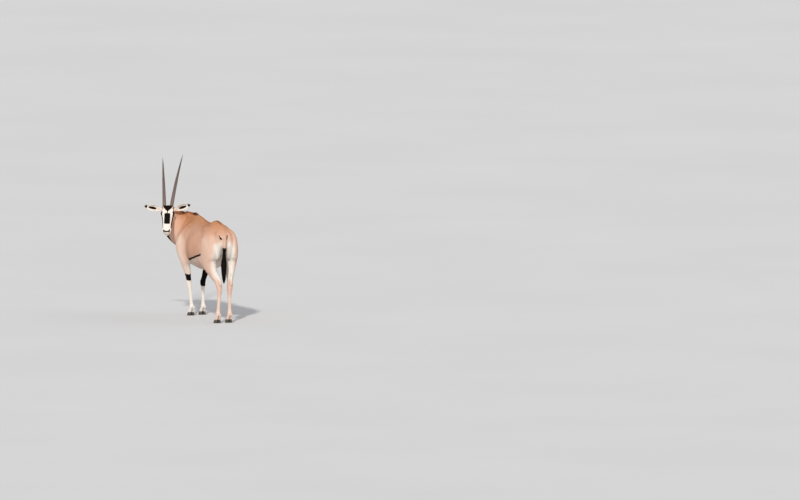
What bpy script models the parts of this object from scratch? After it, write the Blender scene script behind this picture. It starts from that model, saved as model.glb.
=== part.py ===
# A beisa oryx, life size, standing with its head turned back over its left flank.
# World axes: +X is the animal's left, +Y runs from its chest to its tail, +Z is up.
# Every length is in metres. The floor is z = 0 and the eight hoof soles lie on it.

import math
import random

import bmesh
import bpy
from mathutils import Matrix, Vector

# Driving sizes
SHOULDER_HEIGHT = 1.18       # withers above the floor
CROUP_HEIGHT = 1.172         # top of the hips above the floor
HEAD_LENGTH = 0.368          # from between the horns to the tip of the muzzle
HORN_LENGTHS = {1.0: 0.855, -1.0: 0.805}   # left and right
EAR_LENGTH = 0.220
EYE_RADIUS = 0.0195
TAIL_TIP_HEIGHT = 0.46
GAP = 0.0003                 # left between two nodes that touch
WELD = 0.000004              # points this close after a Boolean are one point

# Pose of the head, read from how far each horn and the muzzle lean
HEAD_TURN = math.radians(156.5)   # from straight ahead, towards the left
FACE_SLOPE = math.radians(40.0)   # how far the line of the face leans from plumb
POLL = Vector((0.289, -0.212, 1.279))
HORN_BEND = math.radians(9.0)     # horns lean back from the line of the face
HORN_SPLAYS = {1.0: math.radians(3.6), -1.0: math.radians(4.6)}
HORN_CURL = {1.0: 0.026, -1.0: 0.004}      # how far each tip ends outside the straight line

# Where the whole animal is moved so that its box stands centred on the origin
BOX_SHIFT = Vector((-0.1349, -0.0837, 0.0))

# Mesh sizes
BODY_VOXEL = 0.0065
HEAD_VOXEL = 0.0036
BODY_FACES = 4900
HEAD_FACES = 1700
SOLE_TOP = 0.040             # hoof and leg part at this height

UP = Vector((0.0, 0.0, 1.0))
LEFT = Vector((1.0, 0.0, 0.0))

# Torso from the breast to the buttocks: place along Y, height of the widest line,
# reach above and below it, half width, and how far the top narrows to a ridge
TORSO = (
    (-0.275, 0.80, 0.07, 0.05, 0.050, 0.0),
    (-0.235, 0.80, 0.16, 0.11, 0.105, 0.1),
    (-0.165, 0.81, 0.25, 0.185, 0.150, 0.3),
    (-0.080, 0.82, 0.325, 0.225, 0.172, 0.45),
    (0.020, 0.82, SHOULDER_HEIGHT - 0.82, 0.240, 0.190, 0.55),
    (0.120, 0.82, 0.348, 0.248, 0.196, 0.50),
    (0.250, 0.82, 0.320, 0.256, 0.216, 0.38),
    (0.380, 0.82, 0.305, 0.255, 0.245, 0.32),
    (0.500, 0.83, 0.300, 0.245, 0.242, 0.32),
    (0.600, 0.85, 0.300, 0.225, 0.225, 0.38),
    (0.680, 0.88, CROUP_HEIGHT - 0.88, 0.205, 0.205, 0.42),
    (0.770, 0.90, 0.258, 0.175, 0.180, 0.42),
    (0.860, 0.92, 0.198, 0.145, 0.142, 0.36),
    (0.930, 0.94, 0.128, 0.105, 0.095, 0.30),
    (0.970, 0.95, 0.060, 0.050, 0.045, 0.20),
)

# Neck: centre, half depth from crest to throat, half width
NECK = (
    (0.000, 0.060, 0.910, 0.235, 0.120),
    (0.004, -0.060, 0.915, 0.240, 0.150),
    (0.030, -0.170, 0.932, 0.225, 0.152),
    (0.100, -0.268, 0.985, 0.196, 0.128),
    (0.186, -0.302, 1.068, 0.162, 0.098),
    (0.250, -0.280, 1.150, 0.125, 0.080),
    (0.284, -0.235, 1.205, 0.085, 0.062),
)

# Fore leg of the left side: centre, half depth fore and aft, half width
FORE_LEG = (
    (0.062, 0.025, 1.070, 0.050, 0.036),
    (0.115, -0.022, 0.970, 0.108, 0.066),
    (0.156, -0.042, 0.850, 0.150, 0.080),
    (0.166, -0.008, 0.750, 0.134, 0.070),
    (0.160, 0.018, 0.670, 0.094, 0.061),
    (0.147, 0.015, 0.600, 0.063, 0.050),
    (0.125, 0.009, 0.520, 0.046, 0.040),
    (0.110, 0.004, 0.440, 0.034, 0.030),
    (0.104, -0.003, 0.392, 0.036, 0.033),
    (0.099, 0.000, 0.350, 0.030, 0.029),
    (0.091, 0.006, 0.290, 0.0235, 0.0215),
    (0.084, 0.008, 0.210, 0.0225, 0.0200),
    (0.078, 0.008, 0.145, 0.0230, 0.0215),
    (0.075, 0.010, 0.112, 0.0290, 0.0270),
    (0.073, -0.002, 0.085, 0.0240, 0.0260),
)

# Hind leg of the left side
HIND_LEG = (
    (0.070, 0.700, 1.045, 0.100, 0.065),
    (0.115, 0.735, 0.960, 0.172, 0.088),
    (0.126, 0.770, 0.860, 0.185, 0.088),
    (0.128, 0.782, 0.760, 0.172, 0.082),
    (0.124, 0.800, 0.680, 0.135, 0.072),
    (0.112, 0.842, 0.610, 0.094, 0.056),
    (0.094, 0.892, 0.540, 0.064, 0.042),
    (0.078, 0.934, 0.485, 0.047, 0.032),
    (0.066, 0.962, 0.430, 0.047, 0.034),
    (0.062, 0.965, 0.380, 0.037, 0.029),
    (0.063, 0.958, 0.310, 0.0265, 0.0225),
    (0.066, 0.950, 0.220, 0.0240, 0.0210),
    (0.069, 0.943, 0.150, 0.0245, 0.0220),
    (0.070, 0.941, 0.116, 0.0300, 0.0275),
    (0.070, 0.929, 0.088, 0.0245, 0.0265),
)
HEEL_BONE = ((0.088, 0.940, 0.590, 0.016), (0.074, 0.985, 0.515, 0.015), (0.066, 1.003, 0.455, 0.019))

# Head in its own frame: place from poll to muzzle as a share of its length, reach of the face line
# and of the underside below it, half width, and how much the underside narrows
HEAD = (
    (-0.155, -0.088, -0.125, 0.034, 0.1),
    (-0.090, -0.052, -0.150, 0.055, 0.1),
    (0.015, -0.012, -0.165, 0.068, 0.2),
    (0.130, 0.003, -0.180, 0.074, 0.35),
    (0.240, 0.003, -0.190, 0.076, 0.45),
    (0.350, 0.001, -0.186, 0.071, 0.50),
    (0.470, -0.002, -0.165, 0.063, 0.48),
    (0.585, -0.005, -0.140, 0.058, 0.40),
    (0.700, -0.008, -0.120, 0.0535, 0.30),
    (0.810, -0.012, -0.108, 0.0525, 0.20),
    (0.895, -0.018, -0.100, 0.0535, 0.15),
    (0.965, -0.032, -0.093, 0.0465, 0.10),
    (1.000, -0.052, -0.080, 0.0280, 0.0),
)

# Horn: place along it as a share of its length, and radius
HORN = ((0.0, 0.0225), (0.10, 0.0215), (0.30, 0.0190), (0.50, 0.0160), (0.70, 0.0118), (0.88, 0.0068), (1.0, 0.0012))
HORN_SUNK = 0.022
HORN_RINGS = 15
HORN_RINGED_SHARE = 0.56
HORN_RING_RISE = 0.0017

# Ear: place along it as a share of its length, half width, depth of the cup
EAR = (
    (0.00, 0.0170, 0.00),
    (0.12, 0.0200, 0.25),
    (0.28, 0.0300, 0.72),
    (0.48, 0.0375, 0.80),
    (0.68, 0.0345, 0.74),
    (0.86, 0.0215, 0.60),
    (0.96, 0.0095, 0.30),
    (1.00, 0.0040, 0.0),
)
EAR_SUNK = 0.020
EAR_WALL = 0.0050

TAIL_DOCK = (
    (0.000, 0.890, 1.030, 0.036),
    (0.000, 0.935, 1.018, 0.034),
    (0.002, 0.968, 0.985, 0.029),
    (0.005, 0.982, 0.930, 0.024),
    (0.009, 0.986, 0.860, 0.020),
    (0.012, 0.986, 0.780, 0.015),
    (0.014, 0.985, 0.720, 0.009),
)
TASSEL_LOCKS = 18
TASSEL_RADIUS = 0.036
TASSEL_LEVELS = (0.87, 0.68)      # where the long hair starts and where it stands out most
MANE_LOCKS = 14
MANE_LENGTH = 0.050
SEED = 7


def clear_scene():
    for old in list(bpy.data.objects):
        bpy.data.objects.remove(old, do_unlink=True)


def material(name, colour, roughness, metallic=0.0):
    made = bpy.data.materials.new(name)
    made.use_nodes = True
    shader = made.node_tree.nodes["Principled BSDF"]
    shader.inputs["Base Color"].default_value = (*colour, 1.0)
    shader.inputs["Roughness"].default_value = roughness
    shader.inputs["Metallic"].default_value = metallic
    return made


def between(rows, steps):
    """The rows of a table with Catmull-Rom rows worked out between them."""
    found = []
    last = len(rows) - 1
    for i in range(last):
        before = rows[max(i - 1, 0)]
        start, end = rows[i], rows[i + 1]
        after = rows[min(i + 2, last)]
        for step in range(steps):
            t = step / steps
            row = []
            for a, b, c, d in zip(before, start, end, after):
                bend = (2 * a - 5 * b + 4 * c - d) * t * t + (3 * b - a - 3 * c + d) * t ** 3
                row.append(0.5 * (2 * b + (c - a) * t + bend))
            found.append(tuple(row))
    found.append(tuple(rows[last]))
    return found


def loft(rings, mesh=None):
    """Rings of points skinned into a closed tube, added to a bmesh."""
    mesh = mesh or bmesh.new()
    made = [[mesh.verts.new(p) for p in ring] for ring in rings]
    count = len(made[0])
    for near, far in zip(made, made[1:]):
        for i in range(count):
            j = (i + 1) % count
            mesh.faces.new((near[i], near[j], far[j]))
            mesh.faces.new((near[i], far[j], far[i]))
    mesh.faces.new(list(reversed(made[0])))
    mesh.faces.new(made[-1])
    return mesh


def add_object(name, mesh, finish=None):
    """The bmesh as an object whose faces point out."""
    bmesh.ops.recalc_face_normals(mesh, faces=mesh.faces)
    data = bpy.data.meshes.new(name)
    mesh.to_mesh(data)
    mesh.free()
    made = bpy.data.objects.new(name, data)
    bpy.context.scene.collection.objects.link(made)
    if finish:
        data.materials.append(finish)
    return made


def oval(centre, side, rise, half_width, up, down, sides, ridge=0.0, keel=0.0):
    """One oval ring. ridge narrows it towards the top, keel towards the bottom."""
    ring = []
    for i in range(sides):
        turn = 2 * math.pi * i / sides
        across, along = math.cos(turn), math.sin(turn)
        narrow = 1 - (ridge * along ** 2 if along > 0 else keel * along ** 2)
        reach = up if along > 0 else down
        ring.append(centre + side * (half_width * across * narrow) + rise * (reach * along))
    return ring


def torso_rings(sides=36):
    rings = []
    for y, z, up, down, half_width, ridge in between(TORSO, 3):
        centre = Vector((0.0, y, z))
        rings.append(oval(centre, LEFT, UP, half_width, up, down, sides, ridge))
    return rings


def path_rings(rows, sides, side_hint, mirror=1.0, steps=3, grow=0.0):
    """Rings square to a path: rows of centre, half depth and half width."""
    smooth = between(rows, steps)
    centres = [Vector((row[0] * mirror, row[1], row[2])) for row in smooth]
    rings = []
    for i, row in enumerate(smooth):
        ahead = centres[min(i + 1, len(centres) - 1)] - centres[max(i - 1, 0)]
        ahead.normalize()
        side = (side_hint - ahead * side_hint.dot(ahead)).normalized()
        rise = ahead.cross(side)
        half_width = row[-1] + grow
        depth = row[-2] + grow
        end = grow * ((i == len(smooth) - 1) - (i == 0))
        rings.append(oval(centres[i] + ahead * end, side, rise, half_width, depth, depth, sides))
    return rings


def neck_rings(sides=28):
    """The neck's rings keep the crest upward while the path turns left."""
    smooth = between(NECK, 4)
    centres = [Vector(row[:3]) for row in smooth]
    rings = []
    for i, row in enumerate(smooth):
        ahead = centres[min(i + 1, len(centres) - 1)] - centres[max(i - 1, 0)]
        ahead.normalize()
        crest = (UP - ahead * UP.dot(ahead)).normalized()
        side = ahead.cross(crest)
        depth, half_width = row[3], row[4]
        rings.append(oval(centres[i], side, crest, half_width, depth, depth, sides, 0.45, 0.15))
    return rings


def round_rows(rows, mirror=1.0):
    """A path of round sections, as rows that path_rings reads."""
    return [(x * mirror, y, z, radius, radius) for x, y, z, radius in rows]


def ball(mesh, centre, radii, turn=None, segments=16, rings=10):
    """An ellipsoid added to a bmesh, with radii along its own axes."""
    place = Matrix.Translation(centre)
    if turn:
        place = place @ turn.to_4x4()
    place = place @ Matrix.Diagonal((*radii, 1.0))
    bmesh.ops.create_uvsphere(mesh, u_segments=segments, v_segments=rings, radius=1.0, matrix=place)


def head_frame():
    """Columns: left of the head, up from the face, along the face to the muzzle."""
    level = Vector((math.sin(HEAD_TURN), -math.cos(HEAD_TURN), 0.0))
    muzzle = level * math.sin(FACE_SLOPE) - UP * math.cos(FACE_SLOPE)
    brow = level * math.cos(FACE_SLOPE) + UP * math.sin(FACE_SLOPE)
    left = brow.cross(muzzle)
    turn = Matrix((left, brow, muzzle)).transposed()
    return Matrix.Translation(POLL) @ turn.to_4x4()


HEAD_FRAME = head_frame()


def in_head(left, brow, along):
    """A point given in the head's own frame, in the world."""
    return HEAD_FRAME @ Vector((left, brow, along))


def head_way(left, brow, along):
    """A direction given in the head's own frame, in the world."""
    return (HEAD_FRAME.to_3x3() @ Vector((left, brow, along))).normalized()


def head_rings(sides=32):
    side, rise = head_way(1, 0, 0), head_way(0, 1, 0)
    rings = []
    for along, top, bottom, half_width, keel in between(HEAD, 3):
        widest = top + (bottom - top) * 0.36
        centre = in_head(0.0, widest, along * HEAD_LENGTH)
        rings.append(oval(centre, side, rise, half_width, top - widest, widest - bottom, sides, 0.22, keel))
    return rings


def toe_rows(foot_x, foot_y, spread):
    """One toe from the fetlock down to its hoof, on the side that spread points to."""
    return (
        (foot_x + 0.35 * spread, foot_y + 0.012, 0.100, 0.0240, 0.0170),
        (foot_x + 0.75 * spread, foot_y - 0.004, 0.074, 0.0225, 0.0160),
        (foot_x + spread, foot_y - 0.018, 0.050, 0.0270, 0.0165),
        (foot_x + spread, foot_y - 0.022, 0.030, 0.0300, 0.0175),
    )


TOE_SPREAD = 0.0185


LEG_ROOT, KNEE, FETLOCK = 0.70, 0.39, 0.10   # heights between which a leg is set over


def shifted(rows, mirror, shifts):
    """A leg's rows on one side, with its knee and its foot set over and its root in place."""
    knee, foot = shifts
    found = []
    for x, y, z, depth, half_width in rows:
        bent = min(1.0, max(0.0, (LEG_ROOT - z) / (LEG_ROOT - KNEE)))
        low = min(1.0, max(0.0, (KNEE - z) / (KNEE - FETLOCK)))
        over = [(k + (f - k) * low) * bent for k, f in zip(knee, foot)]
        found.append((x * mirror + over[0], y + over[1], z, depth, half_width))
    return found


# Each leg: its rows, its side, and how far its knee and foot stand from the even stance
EVEN = ((0.0, 0.0), (0.0, 0.0))
LEGS = {
    "leg_front_left": (FORE_LEG, 1.0, EVEN),
    "leg_front_right": (FORE_LEG, -1.0, ((0.030, -0.015), (-0.005, -0.035))),
    "leg_hind_left": (HIND_LEG, 1.0, EVEN),
    "leg_hind_right": (HIND_LEG, -1.0, EVEN),
}


def foot_of(leg):
    """Where a leg's last row stands."""
    rows, mirror, shift = LEGS[leg]
    last = shifted(rows, mirror, shift)[-1]
    return last[0], last[1] + 0.008


def add_leg(mesh, leg):
    rows, mirror, shift = LEGS[leg]
    loft(path_rings(shifted(rows, mirror, shift), 20, LEFT), mesh)
    foot_x, foot_y = foot_of(leg)
    for spread in (TOE_SPREAD, -TOE_SPREAD):
        loft(path_rings(toe_rows(foot_x, foot_y, spread), 14, LEFT), mesh)
        ball(mesh, Vector((foot_x + 0.8 * spread, foot_y + 0.040, 0.098)), (0.010, 0.011, 0.016))


def add_hind_details(mesh, leg):
    """The heel bone and its tendon, and the swell of the hip, buttock and thigh."""
    _, mirror, shift = LEGS[leg]
    heel = shifted([(*row[:3], row[3], row[3]) for row in HEEL_BONE], mirror, shift)
    loft(path_rings(heel, 12, LEFT), mesh)
    ball(mesh, Vector((0.088 * mirror, 0.650, 1.035)), (0.074, 0.150, 0.080))
    ball(mesh, Vector((0.066 * mirror, 0.900, 0.930)), (0.056, 0.080, 0.130))
    ball(mesh, Vector((0.140 * mirror, 0.680, 0.750)), (0.066, 0.120, 0.130))


def add_shoulder(mesh, mirror):
    """The mass over the shoulder blade and the upper arm."""
    ball(mesh, Vector((0.135 * mirror, -0.110, 0.820)), (0.062, 0.100, 0.120))
    ball(mesh, Vector((0.115 * mirror, 0.050, 0.880)), (0.080, 0.120, 0.150))


def melted(mesh, name, voxel, smoothings, faces):
    """Overlapping closed shapes as one smooth closed skin of about that many triangles."""
    made = add_object(name, mesh)
    remesh = made.modifiers.new("Skin", "REMESH")
    remesh.mode = "VOXEL"
    remesh.voxel_size = voxel
    soften = made.modifiers.new("Soften", "SMOOTH")
    soften.factor = 0.5
    soften.iterations = smoothings
    apply_modifiers(made)
    triangles = sum(len(face.vertices) - 2 for face in made.data.polygons)
    thin = made.modifiers.new("Thin", "DECIMATE")
    thin.ratio = faces / triangles
    apply_modifiers(made)
    return made


def apply_modifiers(made):
    graph = bpy.context.evaluated_depsgraph_get()
    graph.update()
    data = bpy.data.meshes.new_from_object(made.evaluated_get(graph))
    made.modifiers.clear()
    old = made.data
    made.data = data
    bpy.data.meshes.remove(old)


def boolean(target, operation, tools, solver="EXACT"):
    """Cuts or joins a list of closed mesh objects, then removes them."""
    group = bpy.data.collections.new("tools")
    bpy.context.scene.collection.children.link(group)
    for tool in tools:
        for holder in list(tool.users_collection):
            holder.objects.unlink(tool)
        group.objects.link(tool)
    step = target.modifiers.new("Join", "BOOLEAN")
    step.operation = operation
    step.operand_type = "COLLECTION"
    step.collection = group
    step.solver = solver
    bpy.context.view_layer.update()
    apply_modifiers(target)
    for tool in tools:
        bpy.data.objects.remove(tool, do_unlink=True)
    bpy.data.collections.remove(group)


def shells_of(target):
    """The separate closed surfaces of an object, each as a bmesh, largest first."""
    mesh = bmesh.new()
    mesh.from_mesh(target.data)
    bmesh.ops.remove_doubles(mesh, verts=mesh.verts, dist=WELD)
    bmesh.ops.dissolve_degenerate(mesh, edges=mesh.edges, dist=WELD)
    seen, shells = set(), []
    for start in mesh.faces:
        if start in seen:
            continue
        stack, faces = [start], []
        seen.add(start)
        while stack:
            face = stack.pop()
            faces.append(face)
            for edge in face.edges:
                for other in edge.link_faces if len(edge.link_faces) == 2 else ():
                    if other not in seen:
                        seen.add(other)
                        stack.append(other)
        shell = bmesh.new()
        points = {}
        for face in faces:
            for vert in face.verts:
                if vert not in points:
                    points[vert] = shell.verts.new(vert.co)
            shell.faces.new([points[vert] for vert in face.verts])
        bmesh.ops.triangulate(shell, faces=shell.faces)
        shells.append(shell)
    mesh.free()
    shells.sort(key=lambda shell: -abs(shell.calc_volume()))
    return shells


def keep_largest(target):
    shells = shells_of(target)
    shells[0].to_mesh(target.data)
    for shell in shells:
        shell.free()


def middle_of(shell):
    total = Vector()
    for vert in shell.verts:
        total += vert.co
    return total / len(shell.verts)


def slab(name, centre, normal, half_width, half_height, rise=UP):
    """A thin plate, one gap thick, that parts two nodes."""
    normal = normal.normalized()
    side = rise.cross(normal).normalized()
    over = normal.cross(side)
    turn = Matrix((side, over, normal)).transposed().to_4x4()
    mesh = bmesh.new()
    size = Matrix.Diagonal((2 * half_width, 2 * half_height, GAP, 1.0))
    bmesh.ops.create_cube(mesh, size=1.0, matrix=Matrix.Translation(centre) @ turn @ size)
    return add_object(name, mesh)


# The plate between neck and head: square to the line of the upper neck
NAPE_CUT_POINT = (0.055, -0.200, 0.050)
NAPE_CUT_WAY = (0.56, -0.80, 0.21)


def nape_cut():
    centre = in_head(*NAPE_CUT_POINT)
    return slab("nape_cut", centre, head_way(*NAPE_CUT_WAY), 0.20, 0.20, UP)


def body_cuts():
    """Plates that part neck, legs and torso."""
    neck_way = Vector((0.42, -1.0, 0.32))
    cuts = [nape_cut(), slab("neck_cut", Vector((0.03, -0.185, 0.950)), neck_way, 0.30, 0.42)]
    for mirror in (1.0, -1.0):
        fore_way = Vector((-mirror, 0.0, 1.0))
        centre = Vector((0.145 * mirror, -0.010, 0.632))
        cuts.append(slab("fore_cut", centre, fore_way, 0.148, 0.158, Vector((0, 1, 0))))
    hind_way = Vector((0.0, -0.62, 1.0))
    cuts.append(slab("hind_cut", Vector((0.0, 0.815, 0.705)), hind_way, 0.32, 0.225, Vector((0, 1, 0))))
    return cuts


def make_body():
    """Torso, neck and legs melted into one skin, then parted into nodes."""
    mesh = bmesh.new()
    loft(torso_rings(), mesh)
    loft(neck_rings(), mesh)
    for leg in LEGS:
        add_leg(mesh, leg)
    for mirror in (1.0, -1.0):
        add_shoulder(mesh, mirror)
    for leg in ("leg_hind_left", "leg_hind_right"):
        add_hind_details(mesh, leg)
    body = melted(mesh, "body", BODY_VOXEL, 7, BODY_FACES)
    floor_cut = bmesh.new()
    size = Matrix.Diagonal((1.2, 2.4, 0.2, 1.0))
    bmesh.ops.create_cube(floor_cut, size=1.0, matrix=Matrix.Translation((0, 0.4, SOLE_TOP - 0.1)) @ size)
    cuts = body_cuts()
    cuts.append(add_object("floor_cut", floor_cut))
    boolean(body, "DIFFERENCE", cuts)
    return body


def name_body(body, finish):
    """Gives each of the body's parts its name by where its middle lies."""
    shells = shells_of(body)
    nodes = {}
    for shell in shells:
        middle = middle_of(shell)
        if len(shell.verts) < 60:
            continue
        if middle.z < 0.62 and abs(middle.x) > 0.02:
            end = "front" if middle.y < 0.4 else "hind"
            name = "leg_" + end + ("_left" if middle.x > 0 else "_right")
        elif middle.y < -0.12:
            name = "neck"
        else:
            name = "torso"
        if name not in nodes:
            nodes[name] = add_object(name, shell.copy(), finish)
    for shell in shells:
        shell.free()
    bpy.data.objects.remove(body, do_unlink=True)
    return nodes


def horn_rings(mirror, grow=0.0, sides=9):
    """Stations up one horn, with raised rings on its lower part."""
    length = HORN_LENGTHS[mirror]
    side_way = math.sin(HORN_SPLAYS[mirror]) * mirror
    start = in_head(0.043 * mirror, -0.022, -0.012)
    straight = head_way(side_way, -math.sin(HORN_BEND), -math.cos(HORN_BEND))
    back = head_way(0.0, -1.0, 0.35)
    side = head_way(1.0, 0.0, 0.0)
    places = [-(HORN_SUNK + grow) / length, 0.0]
    rises = [0.0, 0.0]
    pitch = HORN_RINGED_SHARE / HORN_RINGS
    for i in range(HORN_RINGS):
        places += [0.012 + pitch * (i + 0.18), 0.012 + pitch * (i + 0.62)]
        rises += [0.0, HORN_RING_RISE]
    for share in (0.61, 0.70, 0.80, 0.88, 0.95, 1.0):
        places.append(share)
        rises.append(0.0)
    rings = []
    for place, rise in zip(places, rises):
        radius = horn_radius(place) + rise + grow
        bowed = max(place, 0.0) ** 2
        centre = start + straight * (length * place) + (back * 0.030 + side * (HORN_CURL[mirror] * mirror)) * bowed
        across = (side - straight * side.dot(straight)).normalized()
        deep = straight.cross(across)
        rings.append(oval(centre, across, deep, radius * 0.94, radius * 1.05, radius * 1.05, sides))
    return rings


def horn_radius(place):
    place = max(place, 0.0)
    for (a, low), (b, high) in zip(HORN, HORN[1:]):
        if place <= b:
            return low + (high - low) * (place - a) / (b - a)
    return HORN[-1][1]


EAR_ROOT = (0.068, -0.052, 0.034)
EAR_WAY = {1.0: (0.834, -0.24, -0.50), -1.0: (-0.952, -0.085, -0.295)}
EAR_OPENS = (0.05, 0.82, 0.50)


def ear_rings(mirror, length, grow=0.0, sides=7):
    """Rings along an ear: crescents open towards the front, or filled where it is grown."""
    root = in_head(EAR_ROOT[0] * mirror, *EAR_ROOT[1:])
    out = head_way(*EAR_WAY[mirror])
    opens = head_way(EAR_OPENS[0] * mirror, *EAR_OPENS[1:])
    opens = (opens - out * opens.dot(out)).normalized()
    across = out.cross(opens)
    smooth = between(EAR, 2)
    rings = []
    sunk = (-(EAR_SUNK + grow) / EAR_LENGTH, EAR[0][1], 0.0)
    for place, half_width, cup in [sunk] + smooth:
        if place * EAR_LENGTH > length:
            break
        half_width += grow
        depth = 0.80 * half_width
        wall = min(EAR_WALL, half_width * 0.55)
        hollowed = 0.0 if grow else min(1.0, max(0.0, cup * 1.25))
        centre = root + out * (EAR_LENGTH * place)
        ring = []
        for i in range(sides):
            turn = math.pi * i / (sides - 1)
            ring.append(centre + across * (half_width * math.cos(turn)) - opens * (depth * math.sin(turn)))
        for i in range(sides - 2, 0, -1):
            turn = math.pi * i / (sides - 1)
            solid = (depth * 0.55 + grow) * math.sin(turn)
            hollow = -(depth - wall) * math.sin(turn)
            deep = solid + (hollow - solid) * hollowed
            ring.append(centre + across * ((half_width - wall * 0.6) * math.cos(turn)) + opens * deep)
        rings.append(ring)
    return rings


def eye_centre(mirror):
    return in_head(0.0600 * mirror, -0.038, 0.096)


def eye_ball(name, mirror, grow, finish=None):
    mesh = bmesh.new()
    radius = EYE_RADIUS + grow
    ball(mesh, eye_centre(mirror), (radius, radius, radius), HEAD_FRAME.to_3x3(), 14, 9)
    return add_object(name, mesh, finish)


def lid_opening(mirror):
    """An almond cut through the lids, pointing out from the eye."""
    mesh = bmesh.new()
    out = head_way(0.90 * mirror, 0.38, -0.05)
    along = head_way(0.10 * mirror, -0.24, 1.0)
    along = (along - out * along.dot(out)).normalized()
    across = out.cross(along)
    turn = Matrix((along, across, out)).transposed()
    centre = eye_centre(mirror) + out * (EYE_RADIUS + 0.001)
    ball(mesh, centre, (0.0165, 0.0098, 0.0105), turn, 14, 10)
    return add_object("lid_opening", mesh)


def make_head(finish):
    """The skull, jaws, brows and lids as one skin, with sockets, nostrils and mouth cut."""
    mesh = bmesh.new()
    loft(head_rings(), mesh)
    loft(neck_rings(), mesh)
    turn = HEAD_FRAME.to_3x3()
    for mirror in (1.0, -1.0):
        ball(mesh, eye_centre(mirror), (0.0218, 0.0215, 0.0245), turn)
        ball(mesh, in_head(0.052 * mirror, -0.022, 0.078), (0.021, 0.014, 0.036), turn)
        ball(mesh, in_head(0.0535 * mirror, -0.040, 0.098), (0.0235, 0.032, 0.046), turn)
        ball(mesh, in_head(0.046 * mirror, -0.100, 0.108), (0.026, 0.060, 0.055), turn)
        ball(mesh, in_head(0.043 * mirror, -0.024, 0.012), (0.029, 0.024, 0.028), turn)
        ball(mesh, in_head(0.027 * mirror, -0.040, 0.343), (0.0200, 0.021, 0.024), turn)
        loft(ear_rings(mirror, 0.035, 0.0015), mesh)
    ball(mesh, in_head(0.0, -0.092, 0.340), (0.030, 0.014, 0.032), turn)
    head = melted(mesh, "head", HEAD_VOXEL, 5, HEAD_FACES * 3)
    boolean(head, "DIFFERENCE", [nape_cut()])
    shells = shells_of(head)
    face_side = max(shells[:2], key=lambda shell: -(middle_of(shell) - in_head(0, -0.08, 0.2)).length)
    face_side.to_mesh(head.data)
    for shell in shells:
        shell.free()
    thin = head.modifiers.new("Thin", "DECIMATE")
    thin.ratio = HEAD_FACES / len(head.data.polygons)
    apply_modifiers(head)
    cuts = []
    for mirror in (1.0, -1.0):
        cuts.append(add_object("horn_socket", loft(horn_rings(mirror, GAP)[:10])))
        cuts.append(add_object("ear_socket", loft(ear_rings(mirror, 0.120, 3 * GAP))))
        cuts.append(eye_ball("eye_socket", mirror, GAP))
        cuts.append(lid_opening(mirror))
        cuts.append(nostril(mirror))
    cuts.append(mouth_line())
    boolean(head, "DIFFERENCE", cuts, "MANIFOLD")
    keep_largest(head)
    head.data.materials.clear()
    head.data.materials.append(finish)
    return head


def nostril(mirror):
    """A comma-shaped hollow at the side of the muzzle."""
    mesh = bmesh.new()
    out = head_way(0.60 * mirror, 0.45, 0.85)
    along = head_way(0.75 * mirror, 0.6, -0.75)
    along = (along - out * along.dot(out)).normalized()
    across = out.cross(along)
    turn = Matrix((along, across, out)).transposed()
    ball(mesh, in_head(0.0265 * mirror, -0.034, 0.362), (0.0115, 0.0045, 0.0110), turn, 10, 7)
    return add_object("nostril", mesh)


def mouth_line():
    """A thin bead round the muzzle that leaves the groove between the lips."""
    rows = []
    for i in range(-8, 9):
        share = abs(i) / 8
        side = -1.0 if i < 0 else 1.0
        along = 0.385 - 0.105 * share ** 1.7
        out = 0.050 * math.sin(min(1.0, share * 1.6) * math.pi / 2) * side
        rows.append((*in_head(out, -0.075 - 0.006 * share, along), 0.0032, 0.0032))
    return add_object("mouth_line", loft(path_rings(rows, 6, head_way(0, 1, 0), steps=1)))


def make_hoof(name, leg, spread, finish):
    """One half of a cloven hoof, from the coronet down to its flat sole."""
    foot_x, foot_y = foot_of(leg)
    outer = 1.0 if spread > 0 else -1.0
    # height, middle along Y, half length, half width
    rows = (
        (SOLE_TOP - GAP, -0.022, 0.0300, 0.0172),
        (0.026, -0.029, 0.0385, 0.0184),
        (0.012, -0.036, 0.0455, 0.0196),
        (0.0, -0.042, 0.0510, 0.0204),
    )
    rings = []
    for z, middle, half_length, half_width in rows:
        ring = []
        for i in range(10):
            turn = 2 * math.pi * i / 10
            front = max(0.0, -math.sin(turn))
            width = half_width * (1 - 0.42 * front ** 2)
            bend = 0.10 * half_width * front * outer
            x = foot_x + spread + outer * (half_width - 0.0172) * 0.9 + width * math.cos(turn) - bend
            ring.append(Vector((x, foot_y + middle + half_length * math.sin(turn), z)))
        rings.append(ring)
    return add_object(name, loft(rings), finish)


def lock(points, side_hint, width, thick):
    """Rings of a flat tapered lock that follows the points and ends almost in a point."""
    rings = []
    last = len(points) - 1
    for i, point in enumerate(points):
        share = i / last
        ahead = (points[min(i + 1, last)] - points[max(i - 1, 0)]).normalized()
        side = (side_hint - ahead * side_hint.dot(ahead)).normalized()
        flat = ahead.cross(side)
        swell = 0.70 + 0.60 * share if share < 0.5 else 2.0 * (1.0 - share) * 0.94 + 0.06
        wide, deep = width * swell, thick * (1.0 - 0.75 * share)
        rings.append([point + side * wide, point + flat * deep, point - side * wide, point - flat * deep])
    return rings


def tassel_radius(z):
    """How far the long hair stands out from the tail's middle at a height."""
    start, widest = TASSEL_LEVELS
    if z > widest:
        return TASSEL_RADIUS * (0.45 + 0.55 * max(0.0, (start - z) / (start - widest)))
    return TASSEL_RADIUS * (0.16 + 0.84 * math.sqrt(max(0.0, (z - TAIL_TIP_HEIGHT) / (widest - TAIL_TIP_HEIGHT))))


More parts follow.
